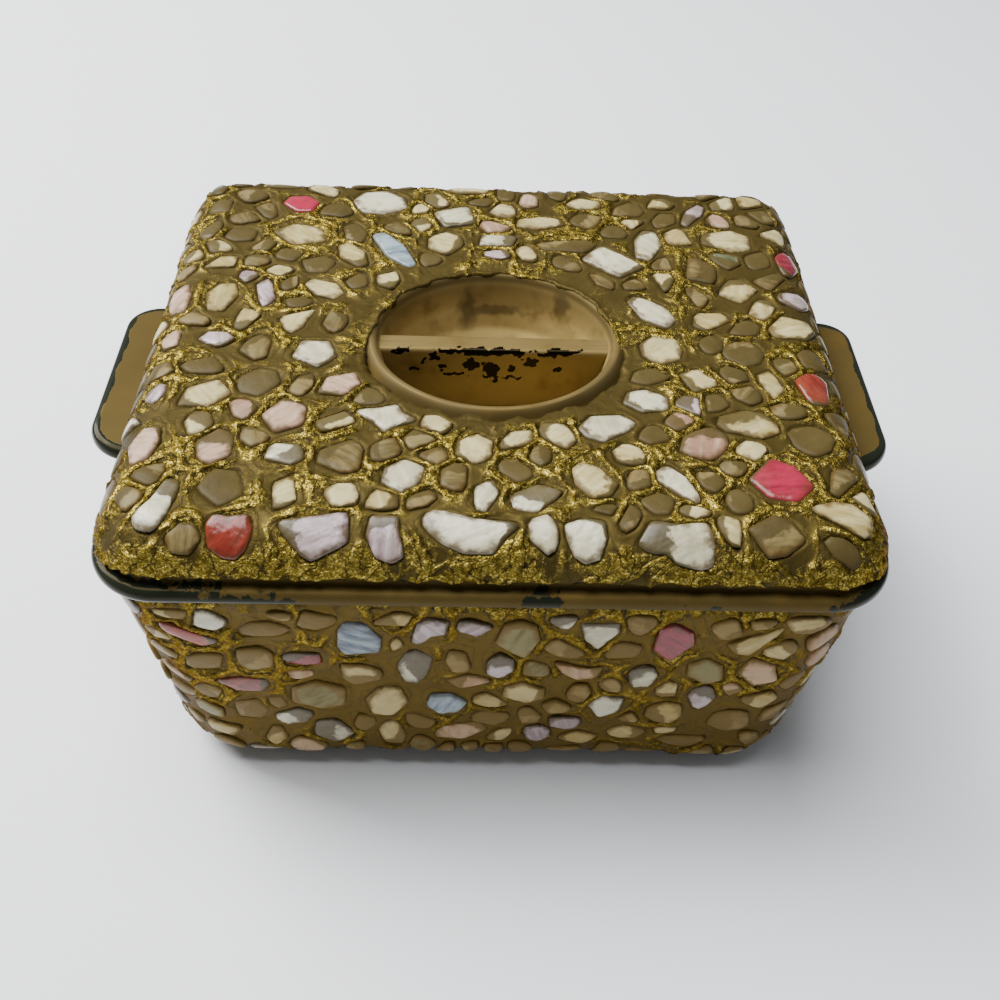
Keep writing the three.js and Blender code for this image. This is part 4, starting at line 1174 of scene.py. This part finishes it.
def lid_candidates(random, count):
    """Places thrown over the lid skin, clear of the well, of the foot and of the bare front
    corners, and the places along the borders that chips keep clear of."""
    reach = RIM_HALF + np.array([2.0, 4.0])
    place = random.uniform(-1, 1, (count, 2)) * reach
    from_well = np.hypot(place[:, 0], place[:, 1] / WELL_OVAL) - WELL_EDGE
    point, _ = on_lid(place)
    bare_corner = (np.abs(place[:, 0]) > 63) & (place[:, 1] < -44)
    good = ((from_well > 3.2) & (point[:, 2] > LID_MORTAR_FOOT + 2.2) & ~bare_corner
            & (place[:, 1] > -56))
    spots, ways = loop_stations(90, 80, 12)
    foot_reach = 16.2 + 2.6 * smoothstep(ways[:, 1], 0.1, 0.95)
    foot_reach = foot_reach - 1.2 * smoothstep(-ways[:, 1], 0.5, 0.97)
    foot = spots * LID_CORE + ways * foot_reach[:, None]
    angle = np.linspace(0, 2 * np.pi, 90)
    mouth = np.stack([np.cos(angle), WELL_OVAL * np.sin(angle)], 1) * (WELL_EDGE + 1.4)
    return place[good], np.concatenate([foot, mouth])


def wall_candidates(random, count):
    """Places thrown over the walls, clear of the ears, and the places along the borders."""
    place = np.c_[random.uniform(0, ROUND_TURN, count), random.uniform(5.5, 56, count)]
    around = np.linspace(0, ROUND_TURN, 460)
    at_ear = from_ear(around) < EAR_HALF_WIDTH + 1
    top = np.where(at_ear, WALL_MORTAR_UNDER_EARS, WALL_MORTAR_TOP) - 0.8
    borders = np.concatenate([np.c_[around, np.full(len(around), 3.2)], np.c_[around, top]])
    return place[(place[:, 1] < 51) | (from_ear(place[:, 0]) > EAR_HALF_WIDTH + 3)], borders


LID_COLOURS = {"taupe": 62, "cream": 24, "pink": 5, "pearl": 4, "lilac": 3, "green": 2}
WALL_COLOURS = {"taupe": 60, "cream": 20, "pearl": 6, "pink": 8, "lilac": 3, "green": 4,
                "coral": 1}


def listed_chips(rows, taken, random):
    """Chips from rows of colour, place, length, width and turn, left out where a chip is."""
    found = []
    for colour, x, y, length, width, turn in rows:
        reach = broken_reach(length * 1.06, width * 1.06, turn, random)
        chip = new_chip(colour, (x, y), reach, random)
        clear = min(np.hypot(*(other["middle"] - chip["middle"]))
                    - other["reach"].mean() - reach.mean() for other in taken + found)
        if clear > -0.6:
            found.append(chip)
    return found


def make_all_chips(shells):
    """Every chip of the box. Gives the chips on the lid and those on the walls."""
    random = np.random.default_rng(CHIP_SEED)
    names = sorted(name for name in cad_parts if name.startswith("shell_"))
    on_top = [name for name in names if box_of(name)[0][2] > FLANGE_TOP]
    on_front = [name for name in names if name not in on_top]
    sides = [
        ("lid", chips_of_nodes(on_top, lid_place, random), MORE_LID_CHIPS, on_lid,
         lid_candidates(random, LID_THROWS), LID_COLOURS, NO_WRAP),
        ("wall", chips_of_nodes(on_front, lambda p: p[:, [0, 2]], random), MORE_FRONT_CHIPS,
         on_wall, wall_candidates(random, WALL_THROWS), WALL_COLOURS, ROUND_TURN),
    ]
    everything = []
    for label, own, rows, surface, (candidates, borders), colours, period in sides:
        proud = random.uniform(0.0, MOST_PROUD, PROUD_DRAWS) * (label == "wall")
        for chip, much in zip(own.values(), proud):
            chip["proud"] = much
        for name, chip in own.items():
            piece = make_chips(name + "_worn", [chip], surface, shells[chip["colour"]],
                               CHIP_LEVELS)
            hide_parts(name)
        chips = list(own.values())
        chips += listed_chips(rows, chips, random)
        spacing = np.linspace(*CHIP_SPACING, len(candidates))
        chips += fill_between(chips, borders, candidates, spacing, CHIP_GAP, LARGEST_HALF,
                              colours, random, period)
        others = chips[len(own):]
        for chip, much in zip(others, proud[len(own):]):
            chip["proud"] = much
        for colour in sorted({chip["colour"] for chip in others}):
            same = [chip for chip in others if chip["colour"] == colour]
            make_chips(f"{label}_chips_{colour}", same, surface, shells[colour],
                       SMALL_CHIP_LEVELS, 3)
        everything.append(chips)
    return everything


FLOOR_REACH = 3.0
CAMERA_TURNS = (0.7810, 0.0419, 0.0474)
CAMERA_PLACE = (-5.4, -191.9, 217.5)
FOCAL_PIXELS, PICTURE_PIXELS = 1185.9, 1000


def make_stage():
    """A pale floor, and soft light that comes mostly from the back left."""
    mesh = bpy.data.meshes.new("floor")
    corners = [(-1, -1), (1, -1), (1, 1), (-1, 1)]
    mesh.from_pydata([(x * FLOOR_REACH, y * FLOOR_REACH, 0) for x, y in corners], [],
                     [(0, 1, 2, 3)])
    floor = show("floor", mesh)
    material, _, shader = new_material("pale_floor", Roughness=0.7, Specular_IOR_Level=0.2)
    shader.inputs["Base Color"].default_value = linear(234, 236, 240)
    mesh.materials.append(material)
    world = bpy.data.worlds.new("soft_room")
    world.use_nodes = True
    background = world.node_tree.nodes["Background"].inputs
    background["Color"].default_value = linear(235, 238, 242)
    background["Strength"].default_value = 0.24
    bpy.context.scene.world = world
    lights = [("window_light", (-0.6, 0.35, 0.75), 0.6, 19.0, (1.0, 0.99, 0.97)),
              ("ceiling_light", (-0.2, 0.05, 1.05), 0.7, 17.0, (0.98, 0.99, 1.0))]
    for name, place, size, power, colour in lights:
        data = bpy.data.lights.new(name, "AREA")
        data.size, data.energy, data.color = size, power, colour
        light = show(name, data)
        light.location = place
        light.rotation_euler = (-light.location).to_track_quat("-Z", "Y").to_euler()


def make_camera():
    """The photograph's camera: pitch down, small yaw and roll, and its focal length."""
    pitch, yaw, roll = CAMERA_TURNS
    forward = np.array([np.sin(yaw) * np.cos(pitch), np.cos(yaw) * np.cos(pitch),
                        -np.sin(pitch)])
    level = np.array([np.cos(yaw), -np.sin(yaw), 0])
    rise = np.cross(level, forward)
    right = level * np.cos(roll) + rise * np.sin(roll)
    up = rise * np.cos(roll) - level * np.sin(roll)
    data = bpy.data.cameras.new("camera")
    data.sensor_width = 36
    data.lens = data.sensor_width * FOCAL_PIXELS / PICTURE_PIXELS
    data.clip_start = 0.01
    camera = show("camera", data)
    turn = Matrix(np.stack([right, up, -forward], 1).tolist()).to_4x4()
    turn.translation = np.array(CAMERA_PLACE) * MM
    camera.matrix_world = turn
    bpy.context.scene.camera = camera


def make_box():
    """All the pieces of the box."""
    old_film = old_film_group()
    mortar = gold_mortar_material(old_film)
    glass = gold_glass_material(old_film)
    shells = {colour: shell_material(colour) for colour in SHELL_LOOKS}
    on_top, on_walls = make_all_chips(shells)
    make_lid_crust(on_top, mortar)
    make_wall_crust(on_walls, mortar)
    make_glass_lid(glass)
    make_glass_dish(glass)


make_box()
make_stage()
make_camera()
